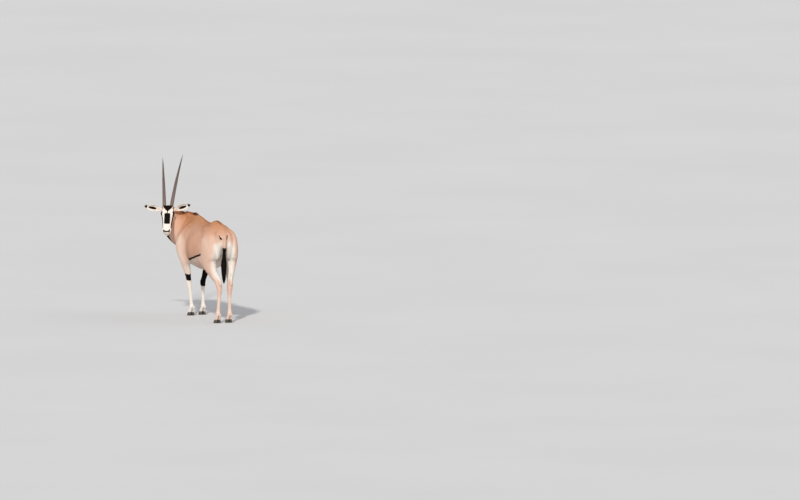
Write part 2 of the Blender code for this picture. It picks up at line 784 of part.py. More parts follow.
def tail_middle(z):
    """The middle line of tail and tassel at a height."""
    last = TAIL_DOCK[-1]
    if z <= last[2]:
        return Vector((last[0], last[1], z))
    for near, far in zip(TAIL_DOCK, TAIL_DOCK[1:]):
        if far[2] <= z <= near[2]:
            share = (near[2] - z) / (near[2] - far[2])
            return Vector((near[0] + (far[0] - near[0]) * share, near[1] + (far[1] - near[1]) * share, z))
    return Vector(TAIL_DOCK[0][:2] + (z,))


def tassel_locks():
    """Flat locks round the end of the tail, each from its own height to its own tip."""
    rng = random.Random(SEED)
    found = []
    for i in range(TASSEL_LOCKS):
        turn = i * 2.4
        out = Vector((math.cos(turn), math.sin(turn), 0.0))
        top = TASSEL_LEVELS[0] - 0.130 * (i / TASSEL_LOCKS)
        low = TAIL_TIP_HEIGHT + rng.uniform(0.0, 0.11) * (1.0 if i else 0.0)
        spread = rng.uniform(0.55, 1.0)
        points = []
        for step in range(6):
            z = top + (low - top) * step / 5
            share = min(1.0, step / 2)
            reach = 0.006 * (1 - share) + tassel_radius(z) * spread * share
            points.append(tail_middle(z) + out * reach)
        side = Vector((-out.y, out.x, 0.0))
        found.append(lock(points, side, rng.uniform(0.0085, 0.0115), 0.0050))
    return found


def make_tail(finish):
    """The dock with the long tassel's locks fused to it."""
    tail = add_object("tail", loft(path_rings(round_rows(TAIL_DOCK), 12, LEFT, steps=2)), finish)
    boolean(tail, "UNION", [add_object("lock", loft(rings)) for rings in tassel_locks()])
    keep_largest(tail)
    tail.data.materials.clear()
    tail.data.materials.append(finish)
    return tail


# How the mane's locks rise and lie back: share of their length, height over the crest
MANE_LIE = ((0.0, -0.014), (0.28, 0.008), (0.62, 0.021), (1.0, 0.025))


def mane_locks():
    """Flat locks that rise from the crest of the neck and lie back over one another."""
    rng = random.Random(SEED + 1)
    rows = between(NECK, 8)
    first, final = 25.0, 34.4
    found = []
    for i in range(MANE_LOCKS):
        root = final - (final - first) * i / (MANE_LOCKS - 1)
        length = MANE_LENGTH * rng.uniform(0.9, 1.15)
        lean = 0.0035 * (-1) ** i + rng.uniform(-0.001, 0.001)
        points = []
        for share, height in MANE_LIE:
            points.append(crest_point(rows, root, length * share, height, lean * share))
        at = int(root)
        ahead = Vector(rows[at + 1][:3]) - Vector(rows[at][:3])
        found.append(lock(points, ahead, rng.uniform(0.0105, 0.0125), 0.0042))
    return found


def crest_point(rows, place, back, height, lean):
    """A point over the crest, so far back from a place on it towards the withers."""
    while back > 0.0 and place > 1.0:
        at = int(place)
        pitch = (Vector(rows[at][:3]) - Vector(rows[at - 1][:3])).length
        step = min(back / pitch, 0.5)
        place -= step
        back -= step * pitch
    at = int(place)
    near, far = rows[at], rows[at + 1]
    centre = Vector(near[:3]).lerp(Vector(far[:3]), place - at)
    ahead = (Vector(far[:3]) - Vector(near[:3])).normalized()
    crest = (UP - ahead * UP.dot(ahead)).normalized()
    reach = near[3] + (far[3] - near[3]) * (place - at)
    return centre + crest * (reach + height - 0.006) + ahead.cross(crest) * lean


def add_mane(neck, finish):
    boolean(neck, "UNION", [add_object("lock", loft(rings)) for rings in mane_locks()], "MANIFOLD")
    keep_largest(neck)
    neck.data.materials.clear()
    neck.data.materials.append(finish)


def make_oryx():
    hide = material("hide", (0.62, 0.43, 0.33), 0.75)
    black = material("black_hair", (0.03, 0.02, 0.02), 0.7)
    horn = material("horn", (0.12, 0.08, 0.07), 0.45)
    hoof = material("hoof", (0.06, 0.05, 0.045), 0.4)
    eye = material("eye", (0.03, 0.015, 0.01), 0.1)
    nodes = name_body(make_body(), hide)
    add_mane(nodes["neck"], hide)
    nodes["head"] = make_head(hide)
    for side, mirror in (("left", 1.0), ("right", -1.0)):
        nodes["horn_" + side] = add_object("horn_" + side, loft(horn_rings(mirror)), horn)
        nodes["ear_" + side] = add_object("ear_" + side, loft(ear_rings(mirror, 1.0)), hide)
        nodes["eye_" + side] = eye_ball("eye_" + side, mirror, 0.0, eye)
    for leg in LEGS:
        stem = leg.replace("leg_", "hoof_")
        mirror = LEGS[leg][1]
        for word, spread in (("outer", TOE_SPREAD * mirror), ("inner", -TOE_SPREAD * mirror)):
            name = stem + "_" + word
            nodes[name] = make_hoof(name, leg, spread, hoof)
    nodes["tail"] = make_tail(black)
    dock = add_object("dock_socket", loft(path_rings(round_rows(TAIL_DOCK), 12, LEFT, steps=2, grow=GAP)))
    boolean(nodes["torso"], "DIFFERENCE", [dock])
    keep_largest(nodes["torso"])
    for node in nodes.values():
        node.data.transform(Matrix.Translation(BOX_SHIFT))
        node.data.shade_smooth()
        print(node.name, sum(len(f.vertices) - 2 for f in node.data.polygons), "triangles")
    return nodes


clear_scene()
make_oryx()
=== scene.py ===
# %% [markdown]
# A beisa oryx stands still and looks back over its left flank. This lesson dresses the plain solids of that
# animal: one skin with its lids, lips and markings, ringed horns, hooves and eyes, and then the hair that
# lies on the skin, stands up as a mane and hangs as a tassel. The imported solids are loaded first.

# %% Load the solids
import math
import random

import bmesh
import bpy
import numpy as np
from mathutils import Matrix, Vector


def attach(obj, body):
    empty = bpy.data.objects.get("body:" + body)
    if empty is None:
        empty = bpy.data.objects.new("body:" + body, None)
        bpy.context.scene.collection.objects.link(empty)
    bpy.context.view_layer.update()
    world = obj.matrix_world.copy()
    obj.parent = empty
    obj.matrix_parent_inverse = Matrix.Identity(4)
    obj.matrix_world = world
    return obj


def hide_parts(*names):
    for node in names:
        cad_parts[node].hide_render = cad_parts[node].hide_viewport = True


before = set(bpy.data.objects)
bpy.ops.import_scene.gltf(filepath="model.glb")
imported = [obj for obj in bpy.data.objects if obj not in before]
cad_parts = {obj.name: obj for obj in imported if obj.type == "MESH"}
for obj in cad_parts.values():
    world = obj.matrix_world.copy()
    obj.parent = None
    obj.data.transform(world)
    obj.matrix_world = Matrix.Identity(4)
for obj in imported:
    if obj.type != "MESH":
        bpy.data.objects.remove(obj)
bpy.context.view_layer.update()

# %% [markdown]
# The camera stands where the photographer stood: behind the animal, a little to its left and just above it.
# The picture was taken from far away, so the lens is long and lines hardly close up. One metre at the
# animal is 86 pixels of an 800 by 500 picture. The camera is set 200 metres off, on the line through the
# withers, and then turned until the withers sit at their own pixel, so the lens needs no shift.

# %% Camera
PICTURE_WIDTH, PICTURE_HEIGHT = 800, 500
PIXELS_PER_METRE = 86.0
CAMERA_AZIMUTH = math.radians(161.0)
CAMERA_ELEVATION = math.radians(5.5)
CAMERA_DISTANCE = 200.0
SENSOR_WIDTH = 36.0
WITHERS_PIXEL = (197.9, 214.2)
BODY_SHIFT = Vector((-0.1349, -0.0837, 0.0))       # from the body's own frame to the solids' frame
WITHERS = Vector((0.0, 0.02, 1.18)) + BODY_SHIFT
UP = Vector((0.0, 0.0, 1.0))
LEFT = Vector((1.0, 0.0, 0.0))
BOTH = (1.0, -1.0)                                 # the animal's left and right side
SIDES = {"left": 1.0, "right": -1.0}

view_back = Vector((math.sin(CAMERA_AZIMUTH) * math.cos(CAMERA_ELEVATION),
                    -math.cos(CAMERA_AZIMUTH) * math.cos(CAMERA_ELEVATION),
                    math.sin(CAMERA_ELEVATION)))
view_right = UP.cross(view_back).normalized()
view_up = view_back.cross(view_right)
to_middle_x = (PICTURE_WIDTH / 2 - WITHERS_PIXEL[0]) / PIXELS_PER_METRE
to_middle_y = (WITHERS_PIXEL[1] - PICTURE_HEIGHT / 2) / PIXELS_PER_METRE
aim = WITHERS + view_right * to_middle_x + view_up * to_middle_y
camera_data = bpy.data.cameras.new("camera")
camera_data.sensor_width = SENSOR_WIDTH
camera_data.lens = SENSOR_WIDTH * CAMERA_DISTANCE * PIXELS_PER_METRE / PICTURE_WIDTH
camera_data.clip_end = 10.0 * CAMERA_DISTANCE
camera = bpy.data.objects.new("camera", camera_data)
camera.location = WITHERS + view_back * CAMERA_DISTANCE
camera.rotation_mode = "QUATERNION"
camera.rotation_quaternion = (aim - camera.location).to_track_quat("-Z", "Y")
bpy.context.scene.collection.objects.link(camera)
bpy.context.scene.camera = camera
print("camera lens", round(camera_data.lens, 1), "mm, height", round(camera.location.z, 2), "m")

# %% [markdown]
# Materials here are small graphs of nodes. The first helper adds one node, sets its properties and either
# sets or links each named input. The next ones are the steps that come back in almost every material, so
# each graph reads as a short list.

# %% Helpers that add nodes
def node(tree, kind, inputs=None, **settings):
    """A new node; an input given as a socket is linked, and any other value is set on it."""
    made = tree.nodes.new(kind)
    for name, value in settings.items():
        setattr(made, name, value)
    for name, value in (inputs or {}).items():
        socket = made.inputs[name]
        if isinstance(value, bpy.types.NodeSocket):
            tree.links.new(value, socket)
        elif value is not None:
            socket.default_value = value
    return made


def new_group(name, kind, inputs, outputs):
    """A node group with named sockets, given as (name, socket type, first value)."""
    group = bpy.data.node_groups.new(name, kind)
    for label, socket_type, value in inputs:
        socket = group.interface.new_socket(name=label, in_out="INPUT", socket_type=socket_type)
        if value is not None:
            socket.default_value = value
    for label, socket_type in outputs:
        group.interface.new_socket(name=label, in_out="OUTPUT", socket_type=socket_type)
    return group


def new_material(name):
    """An empty material, its tree and its output node."""
    material = bpy.data.materials.new(name)
    material.use_nodes = True
    material.node_tree.nodes.clear()
    return material, material.node_tree, material.node_tree.nodes.new("ShaderNodeOutputMaterial")


def object_place(tree):
    """Each point's own place, for patterns that stay with their piece."""
    return node(tree, "ShaderNodeTexCoord").outputs["Object"]


def noise(tree, vector, scale, detail, **inputs):
    """The value of a noise read at a place."""
    inputs = {"Vector": vector, "Scale": scale, "Detail": detail, **inputs}
    return node(tree, "ShaderNodeTexNoise", inputs).outputs["Fac"]


def remap(tree, value, from_range=(0.0, 1.0), to_range=(0.0, 1.0), curve="LINEAR"):
    """A value moved from one range to another."""
    inputs = {"Value": value, "From Min": from_range[0], "From Max": from_range[1],
              "To Min": to_range[0], "To Max": to_range[1]}
    return node(tree, "ShaderNodeMapRange", inputs, interpolation_type=curve).outputs[0]


def surface(tree, out, inputs):
    """The shader itself, with what is even all over set on its own sockets."""
    shader = node(tree, "ShaderNodeBsdfPrincipled", inputs)
    tree.links.new(shader.outputs[0], out.inputs["Surface"])


def link_object(name, mesh, material=None):
    """A mesh as an object at the origin with its material."""
    made = bpy.data.objects.new(name, mesh)
    bpy.context.scene.collection.objects.link(made)
    if material:
        mesh.materials.clear()
        mesh.materials.append(material)
    return made


print("helpers ready")

# %% [markdown]
# The floor is one pale disc, so wide that the low camera never sees its rim. Its material has a faint broad
# mottle, because a perfectly even floor looks like empty paper.

# %% Floor
FLOOR_RADIUS = 420.0
FLOOR_TONES = (0.60, 0.66)
floor_form = bmesh.new()
bmesh.ops.create_circle(floor_form, cap_ends=True, segments=96, radius=FLOOR_RADIUS)
floor_mesh = bpy.data.meshes.new("floor")
floor_form.to_mesh(floor_mesh)
floor_form.free()
floor_finish, tree, out = new_material("pale_floor")
tone = remap(tree, noise(tree, object_place(tree), 0.35, 3.0), to_range=FLOOR_TONES)
paint = node(tree, "ShaderNodeCombineColor", {"Red": tone, "Green": tone, "Blue": tone})
surface(tree, out, {"Base Color": paint.outputs[0], "Roughness": 0.9})
floor = link_object("floor", floor_mesh, floor_finish)
print("floor radius", FLOOR_RADIUS, "m")

# %% [markdown]
# The light is a studio's: a key from above and behind the camera, a little to its left, a weak fill from
# the right, and an even pale surround. Both lights are suns with a wide disc, so shadows are soft but still
# model the form.

# %% Lights
# name: the way from the animal to the light, strength, width of the disc in degrees, colour
LIGHTS = {
    "key_light": ((0.42, 0.70, 0.64), 2.45, 4.0, (1.0, 0.965, 0.91)),
    "fill_light": ((-0.85, 0.35, 0.50), 0.45, 40.0, (0.96, 0.98, 1.0)),
}
SURROUND_COLOUR, SURROUND_STRENGTH = (0.93, 0.95, 1.0, 1.0), 0.55

for name, (way, strength, spread, colour) in LIGHTS.items():
    light = bpy.data.lights.new(name, "SUN")
    light.energy = strength
    light.angle = math.radians(spread)
    light.color = colour
    lamp = bpy.data.objects.new(name, light)
    lamp.rotation_mode = "QUATERNION"
    lamp.rotation_quaternion = Vector(way).to_track_quat("Z", "Y")
    bpy.context.scene.collection.objects.link(lamp)
surround = bpy.data.worlds.new("studio")
surround.use_nodes = True
surround.node_tree.nodes["Background"].inputs["Color"].default_value = SURROUND_COLOUR
surround.node_tree.nodes["Background"].inputs["Strength"].default_value = SURROUND_STRENGTH
bpy.context.scene.world = surround
bpy.context.scene.view_settings.view_transform = "Standard"
print("lights set:", ", ".join(LIGHTS))

# %% [markdown]
# The body is described by stations: cross-sections at measured places, from which a tube is skinned. It
# could also be sculpted, but a table of sizes can be checked and changed one number at a time. These are
# the same driving sizes as the solids', so the skin follows them everywhere, and it is only thinner by the
# depth of the coat.

# %% Stations of the body
SHOULDER_HEIGHT, CROUP_HEIGHT = 1.18, 1.172
# torso: place along Y, height of the widest line, reach above and below, half width, ridge
TORSO = (
    (-0.275, 0.80, 0.07, 0.05, 0.050, 0.0),
    (-0.235, 0.80, 0.16, 0.11, 0.105, 0.1),
    (-0.165, 0.81, 0.25, 0.185, 0.150, 0.3),
    (-0.080, 0.82, 0.325, 0.225, 0.172, 0.45),
    (0.020, 0.82, SHOULDER_HEIGHT - 0.82, 0.240, 0.190, 0.55),
    (0.120, 0.82, 0.348, 0.248, 0.196, 0.50),
    (0.250, 0.82, 0.320, 0.256, 0.216, 0.38),
    (0.380, 0.82, 0.305, 0.255, 0.245, 0.32),
    (0.500, 0.83, 0.300, 0.245, 0.242, 0.32),
    (0.600, 0.85, 0.300, 0.225, 0.225, 0.38),
    (0.680, 0.88, CROUP_HEIGHT - 0.88, 0.205, 0.205, 0.42),
    (0.770, 0.90, 0.258, 0.175, 0.180, 0.42),
    (0.860, 0.92, 0.198, 0.145, 0.142, 0.36),
    (0.930, 0.94, 0.128, 0.105, 0.095, 0.30),
    (0.970, 0.95, 0.060, 0.050, 0.045, 0.20),
)
# neck: centre, half depth from crest to throat, half width
NECK = (
    (0.000, 0.060, 0.910, 0.235, 0.120),
    (0.004, -0.060, 0.915, 0.240, 0.150),
    (0.030, -0.170, 0.932, 0.225, 0.152),
    (0.100, -0.268, 0.985, 0.196, 0.128),
    (0.186, -0.302, 1.068, 0.162, 0.098),
    (0.250, -0.280, 1.150, 0.125, 0.080),
    (0.284, -0.235, 1.205, 0.085, 0.062),
)
# left fore and hind leg: centre, half depth fore and aft, half width
FORE_LEG = (
    (0.062, 0.025, 1.070, 0.050, 0.036),
    (0.115, -0.022, 0.970, 0.108, 0.066),
    (0.156, -0.042, 0.850, 0.150, 0.080),
    (0.166, -0.008, 0.750, 0.134, 0.070),
    (0.160, 0.018, 0.670, 0.094, 0.061),
    (0.147, 0.015, 0.600, 0.063, 0.050),
    (0.125, 0.009, 0.520, 0.046, 0.040),
    (0.110, 0.004, 0.440, 0.034, 0.030),
    (0.104, -0.003, 0.392, 0.036, 0.033),
    (0.099, 0.000, 0.350, 0.030, 0.029),
    (0.091, 0.006, 0.290, 0.0235, 0.0215),
    (0.084, 0.008, 0.210, 0.0225, 0.0200),
    (0.078, 0.008, 0.145, 0.0230, 0.0215),
    (0.075, 0.010, 0.112, 0.0290, 0.0270),
    (0.073, -0.002, 0.085, 0.0240, 0.0260),
)
HIND_LEG = (
    (0.070, 0.700, 1.045, 0.100, 0.065),
    (0.115, 0.735, 0.960, 0.172, 0.088),
    (0.126, 0.770, 0.860, 0.185, 0.088),
    (0.128, 0.782, 0.760, 0.172, 0.082),
    (0.124, 0.800, 0.680, 0.135, 0.072),
    (0.112, 0.842, 0.610, 0.094, 0.056),
    (0.094, 0.892, 0.540, 0.064, 0.042),
    (0.078, 0.934, 0.485, 0.047, 0.032),
    (0.066, 0.962, 0.430, 0.047, 0.034),
    (0.062, 0.965, 0.380, 0.037, 0.029),
    (0.063, 0.958, 0.310, 0.0265, 0.0225),
    (0.066, 0.950, 0.220, 0.0240, 0.0210),
    (0.069, 0.943, 0.150, 0.0245, 0.0220),
    (0.070, 0.941, 0.116, 0.0300, 0.0275),
    (0.070, 0.929, 0.088, 0.0245, 0.0265),
)
# from here on: centre, radius
HEEL_TENDON = (
    (0.088, 0.940, 0.590, 0.0056),
    (0.074, 0.985, 0.515, 0.015),
    (0.066, 1.003, 0.455, 0.019),
    (0.068, 0.986, 0.418, 0.008),
)
TAIL_DOCK = (
    (0.000, 0.890, 1.030, 0.036),
    (0.000, 0.935, 1.018, 0.034),
    (0.002, 0.968, 0.985, 0.029),
    (0.005, 0.982, 0.930, 0.024),
    (0.009, 0.986, 0.860, 0.020),
    (0.012, 0.986, 0.780, 0.015),
    (0.014, 0.985, 0.720, 0.009),
)
LEG_ROOT, KNEE, FETLOCK, SOLE_TOP, TOE_SPREAD = 0.70, 0.39, 0.10, 0.040, 0.0185
# each leg: stations, side, and how far its knee and its foot stand over in X and Y
EVEN = ((0.0, 0.0), (0.0, 0.0))
LEGS = {
    "leg_front_left": (FORE_LEG, 1.0, EVEN),
    "leg_front_right": (FORE_LEG, -1.0, ((0.030, -0.015), (-0.005, -0.035))),
    "leg_hind_left": (HIND_LEG, 1.0, EVEN),
    "leg_hind_right": (HIND_LEG, -1.0, EVEN),
}
print("stations:", len(TORSO), "torso,", len(NECK), "neck,", len(FORE_LEG) + len(HIND_LEG), "leg")

# %% [markdown]
# Between two stations a curve that passes through all of them gives as many more as are wanted, so a few
# chosen sections make a smooth form. Rings of points are then joined by faces into a closed tube.

# %% Helpers that loft tubes
def between(rows, steps):
    """The rows of a table with smooth rows worked out between them."""
    found = []
    last = len(rows) - 1
    for i in range(last):
        before, start, end = rows[max(i - 1, 0)], rows[i], rows[i + 1]
        after = rows[min(i + 2, last)]
        for step in range(steps):
            t = step / steps
            row = []
            for a, b, c, d in zip(before, start, end, after):
                bend = (2 * a - 5 * b + 4 * c - d) * t * t + (3 * b - a - 3 * c + d) * t ** 3
                row.append(0.5 * (2 * b + (c - a) * t + bend))
            found.append(tuple(row))
    found.append(tuple(rows[last]))
    return found


def wall(mesh, rings):
    """The wall between rings of a bmesh's own points, in triangles."""
    count = len(rings[0])
    for near, far in zip(rings, rings[1:]):
        for i in range(count):
            j = (i + 1) % count
            mesh.faces.new((near[i], near[j], far[j]))
            mesh.faces.new((near[i], far[j], far[i]))


def loft(rings, mesh):
    """Rings of points skinned into a closed tube, added to a bmesh."""
    made = [[mesh.verts.new(p) for p in ring] for ring in rings]
    wall(mesh, made)
    mesh.faces.new(list(reversed(made[0])))
    mesh.faces.new(made[-1])


def oval(centre, side, rise, half_width, up, down, sides, ridge=0.0, keel=0.0):
    """One oval ring. ridge narrows it towards the top, keel towards the bottom."""
    ring = []
    for i in range(sides):
        turn = 2 * math.pi * i / sides
        across, along = math.cos(turn), math.sin(turn)
        narrow = 1 - (ridge * along ** 2 if along > 0 else keel * along ** 2)
        reach = up if along > 0 else down
        ring.append(centre + side * (half_width * across * narrow) + rise * (reach * along))
    return ring


print("between, wall, loft and oval are ready")

# %% Helpers that follow a path
def way_at(points, i):
    """The way that a path of points takes at one of them."""
    return (points[min(i + 1, len(points) - 1)] - points[max(i - 1, 0)]).normalized()


def square_to(hint, way):
    """The part of a hint that is square to a way."""
    return (hint - way * hint.dot(way)).normalized()


def path_rings(rows, sides, side_hint, steps=3):
    """Rings square to a path: rows of centre, half depth and half width."""
    smooth = between(rows, steps)
    centres = [Vector(row[:3]) for row in smooth]
    rings = []
    for i, row in enumerate(smooth):
        ahead = way_at(centres, i)
        side = square_to(side_hint, ahead)
        rings.append(oval(centres[i], side, ahead.cross(side), row[-1], row[-2], row[-2], sides))
    return rings


def ball(mesh, centre, radii, turn=None, segments=24, rings=16):
    """An ellipsoid added to a bmesh, with radii along its own axes."""
    place = Matrix.Translation(centre)
    if turn:
        place = place @ turn.to_4x4()
    place = place @ Matrix.Diagonal((*radii, 1.0))
    bmesh.ops.create_uvsphere(mesh, u_segments=segments, v_segments=rings, radius=1.0, matrix=place)


def round_rows(rows):
    """A path of round sections, as rows that path_rings reads."""
    return [(x, y, z, radius, radius) for x, y, z, radius in rows]


print("helpers for paths and balls are ready")

# %% Rings of the trunk and the neck
def torso_rings(sides=48):
    return [oval(Vector((0.0, y, z)), LEFT, UP, half_width, up, down, sides, ridge)
            for y, z, up, down, half_width, ridge in between(TORSO, 4)]


def neck_frames(steps=4):
    """Along the neck: centre, way ahead, way to the crest, way to the side, half depth, half width."""
    smooth = between(NECK, steps)
    centres = [Vector(row[:3]) for row in smooth]
    frames = []
    for i, row in enumerate(smooth):
        ahead = way_at(centres, i)
        crest = square_to(UP, ahead)
        frames.append((centres[i], ahead, crest, ahead.cross(crest), row[3], row[4]))
    return frames


def neck_rings(sides=40):
    return [oval(centre, side, crest, half_width, depth, depth, sides, 0.45, 0.15)
            for centre, _, crest, side, depth, half_width in neck_frames()]


print("trunk and neck:", len(torso_rings()) + len(neck_frames()), "rings")

# %% Where the legs stand
def shifted(rows, mirror, shifts):
    """A leg's rows on one side, with its knee and its foot set over and its root in place."""
    knee, foot = shifts
    found = []
    for x, y, z, depth, half_width in rows:
        bent = min(1.0, max(0.0, (LEG_ROOT - z) / (LEG_ROOT - KNEE)))
        low = min(1.0, max(0.0, (KNEE - z) / (KNEE - FETLOCK)))
        over = [(k + (f - k) * low) * bent for k, f in zip(knee, foot)]
        found.append((x * mirror + over[0], y + over[1], z, depth, half_width))
    return found


def foot_of(leg):
    """Where a leg's foot stands, a little behind its last row."""
    last = shifted(*LEGS[leg])[-1]
    return last[0], last[1] + 0.008


for leg in LEGS:
    print(leg, "stands at", [round(v, 3) for v in foot_of(leg)])

# %% [markdown]
# The head has a frame of its own: left, out of the face, and along the face from the poll to the muzzle.
# Every feature of the face is placed in that frame, so the turned head needs no world coordinates.

# %% The head's own frame and stations
HEAD_LENGTH = 0.368
HEAD_TURN = math.radians(156.5)
FACE_SLOPE = math.radians(40.0)
POLL = Vector((0.289, -0.212, 1.279))
WIDEST_SHARE = 0.36          # from the brow line down, where a section of the head is widest
HEAD_RIDGE = 0.22
# head: share of its length, brow and jaw line, half width, keel
HEAD = (
    (-0.155, -0.088, -0.125, 0.034, 0.1),
    (-0.090, -0.052, -0.150, 0.055, 0.1),
    (0.015, -0.012, -0.165, 0.068, 0.2),
    (0.130, 0.003, -0.180, 0.074, 0.35),
    (0.240, 0.003, -0.190, 0.076, 0.45),
    (0.350, 0.001, -0.186, 0.071, 0.50),
    (0.470, -0.002, -0.165, 0.063, 0.48),
    (0.585, -0.005, -0.140, 0.058, 0.40),
    (0.700, -0.008, -0.120, 0.0535, 0.30),
    (0.810, -0.012, -0.108, 0.0525, 0.20),
    (0.895, -0.018, -0.100, 0.0535, 0.15),
    (0.965, -0.032, -0.093, 0.0465, 0.10),
    (1.000, -0.052, -0.080, 0.0280, 0.0),
)
head_level = Vector((math.sin(HEAD_TURN), -math.cos(HEAD_TURN), 0.0))
head_muzzle = head_level * math.sin(FACE_SLOPE) - UP * math.cos(FACE_SLOPE)
head_brow = head_level * math.cos(FACE_SLOPE) + UP * math.sin(FACE_SLOPE)
HEAD_TURNED = Matrix((head_brow.cross(head_muzzle), head_brow, head_muzzle)).transposed()
HEAD_FRAME = Matrix.Translation(POLL) @ HEAD_TURNED.to_4x4()


def in_head(left, brow, along):
    """A point given in the head's own frame."""
    return HEAD_FRAME @ Vector((left, brow, along))


def head_way(left, brow, along):
    """A direction given in the head's own frame."""
    return (HEAD_TURNED @ Vector((left, brow, along))).normalized()


def head_rings(sides=48):
    side, rise = head_way(1, 0, 0), head_way(0, 1, 0)
    rings = []
    for along, top, bottom, half_width, keel in between(HEAD, 4):
        widest = top + (bottom - top) * WIDEST_SHARE
        centre = in_head(0.0, widest, along * HEAD_LENGTH)
        up, down = top - widest, widest - bottom
        rings.append(oval(centre, side, rise, half_width, up, down, sides, HEAD_RIDGE, keel))
    return rings


print("muzzle tip at", [round(v, 3) for v in in_head(0.0, -0.05, HEAD_LENGTH) + BODY_SHIFT])

# %% [markdown]
# An ear is a leaf rolled into a cup. Each ring is a crescent: an outer wall, and an inner wall set back by
# the thickness of the ear, so that the cup is truly hollow and its rim catches the light.

# %% Ears
EAR_LENGTH = 0.220
EARS = {"ear_left": 1.0, "ear_right": -1.0}
# ear: share of its length, half width, how far it is cupped
EAR = (
    (0.00, 0.0170, 0.00),
    (0.12, 0.0200, 0.25),
    (0.28, 0.0300, 0.72),
    (0.48, 0.0375, 0.80),
    (0.68, 0.0345, 0.74),
    (0.86, 0.0215, 0.60),
    (0.96, 0.0095, 0.30),
    (1.00, 0.0040, 0.0),
)
EAR_SUNK, EAR_WALL, EAR_DEPTH, EAR_BODY = 0.030, 0.0042, 0.80, 0.55
EAR_ROOT = (0.068, -0.052, 0.034)
EAR_WAY = {1.0: (0.834, -0.24, -0.50), -1.0: (-0.952, -0.085, -0.295)}
EAR_OPENS = (0.05, 0.82, 0.50)


def ear_frame(mirror):
    """Where an ear starts, which way it points, which way it opens, and the way across it."""
    root = in_head(EAR_ROOT[0] * mirror, *EAR_ROOT[1:])
    out = head_way(*EAR_WAY[mirror])
    opens = square_to(head_way(EAR_OPENS[0] * mirror, *EAR_OPENS[1:]), out)
    return root, out, opens, out.cross(opens)


def ear_rings(mirror, length, sides=17, thinner=0.0008):
    """Crescent rings up to a length: round the back of the ear, and back through its cup."""
    root, out, opens, across = ear_frame(mirror)
    rings = []
    sunk = (-EAR_SUNK / EAR_LENGTH, EAR[0][1], 0.0)
    for place, half_width, cup in [sunk] + between(EAR, 6):
        if place * EAR_LENGTH > length:
            break
        half_width -= thinner
        depth = EAR_DEPTH * half_width
        thick = min(EAR_WALL, half_width * 0.55)
        hollowed = min(1.0, max(0.0, cup * 1.25))
        centre = root + out * (EAR_LENGTH * place)
        ring = []
        for i in range(sides):
            turn = math.pi * i / (sides - 1)
            ring.append(centre + across * (half_width * math.cos(turn)) - opens * (depth * math.sin(turn)))
        for i in range(sides - 2, 0, -1):
            turn = math.pi * i / (sides - 1)
            solid = depth * EAR_BODY * math.sin(turn)
            hollow = -(depth - thick) * math.sin(turn)
            deep = solid + (hollow - solid) * hollowed
            ring.append(centre + across * ((half_width - thick * 0.6) * math.cos(turn)) + opens * deep)
        rings.append(ring)
    return rings


for region, mirror in EARS.items():
    tip = ear_frame(mirror)[0] + ear_frame(mirror)[1] * EAR_LENGTH + BODY_SHIFT
    print(region, "tip at", [round(v, 3) for v in tip])

# %% [markdown]
# The skin could be sculpted face by face, but a living form has no seams where a leg leaves the trunk. So
# every tube and muscle is dropped into one mesh, and a voxel remesh melts them into a single closed skin. A
# long smoothing then levels the creases of trunk and thighs, held off the head by a weight. A short one
# removes the voxel steps everywhere, and a Displace draws the skin in by the depth of the coat.

# %% Helpers that read points
def points_of(mesh):
    """The points of a mesh in the body's own frame."""
    found = np.empty(len(mesh.vertices) * 3, np.float32)
    mesh.vertices.foreach_get("co", found)
    return found.reshape(-1, 3).astype(np.float64)


def ramp(values, low, high):
    """0 below low, 1 above high, and a smooth ramp between them. It also falls where high is below low."""
    share = np.clip((values - low) / (high - low), 0.0, 1.0)
    return share * share * (3.0 - 2.0 * share)


TO_HEAD = np.array(HEAD_FRAME.inverted())


def head_places(points):
    """Points in the head's own frame: left, out of the face, along the face."""
    return points @ TO_HEAD[:3, :3].T + TO_HEAD[:3, 3]


def weigh(made, name, weights):
    """A vertex group whose weights run in tenths from 0 to 1."""
    group = made.vertex_groups.new(name=name)
    for level in range(1, 11):
        chosen = np.nonzero(np.ceil(weights * 10) == level)[0]
        if len(chosen):
            group.add(chosen.tolist(), level / 10, "REPLACE")


print("point helpers ready")

# %% Muscles and forms of the skull
# Muscles, given for the left leg: centre, radii
MUSCLES = {
    "front": (
        ((0.135, -0.110, 0.820), (0.062, 0.100, 0.120)),
        ((0.115, 0.050, 0.880), (0.080, 0.120, 0.150)),
    ),
    "hind": (
        ((0.088, 0.650, 1.035), (0.074, 0.150, 0.080)),
        ((0.066, 0.896, 0.900), (0.058, 0.080, 0.170)),
        ((0.140, 0.680, 0.750), (0.066, 0.120, 0.130)),
    ),
}
# Forms on both sides of the head, in its own frame: centre, radii
SKULL_FORMS = (
    ((0.0600, -0.038, 0.096), (0.0218, 0.0215, 0.0245)),      # eyelids
    ((0.052, -0.022, 0.078), (0.021, 0.014, 0.036)),          # brow
    ((0.0535, -0.040, 0.098), (0.0235, 0.032, 0.046)),        # rim of the eye socket
    ((0.046, -0.100, 0.108), (0.026, 0.060, 0.055)),          # jaw muscle
    ((0.043, -0.024, 0.012), (0.029, 0.024, 0.028)),          # foot of the horn
    ((0.027, -0.040, 0.343), (0.0200, 0.021, 0.024)),         # wing of the nostril
)
CHIN = ((0.0, -0.092, 0.340), (0.030, 0.014, 0.032))
# The pad of muscle along the crest, from inside the withers to half way up the neck: centre, radius
CREST_PAD = (
    (0.000, 0.020, 1.120, 0.040),
    (0.003, -0.061, 1.130, 0.045),
    (0.006, -0.112, 1.128, 0.045),
    (0.017, -0.182, 1.131, 0.043),
    (0.034, -0.255, 1.141, 0.038),
    (0.060, -0.300, 1.150, 0.025),
)
print("muscles of a side:", sum(map(len, MUSCLES.values())), "forms of the skull:", len(SKULL_FORMS))

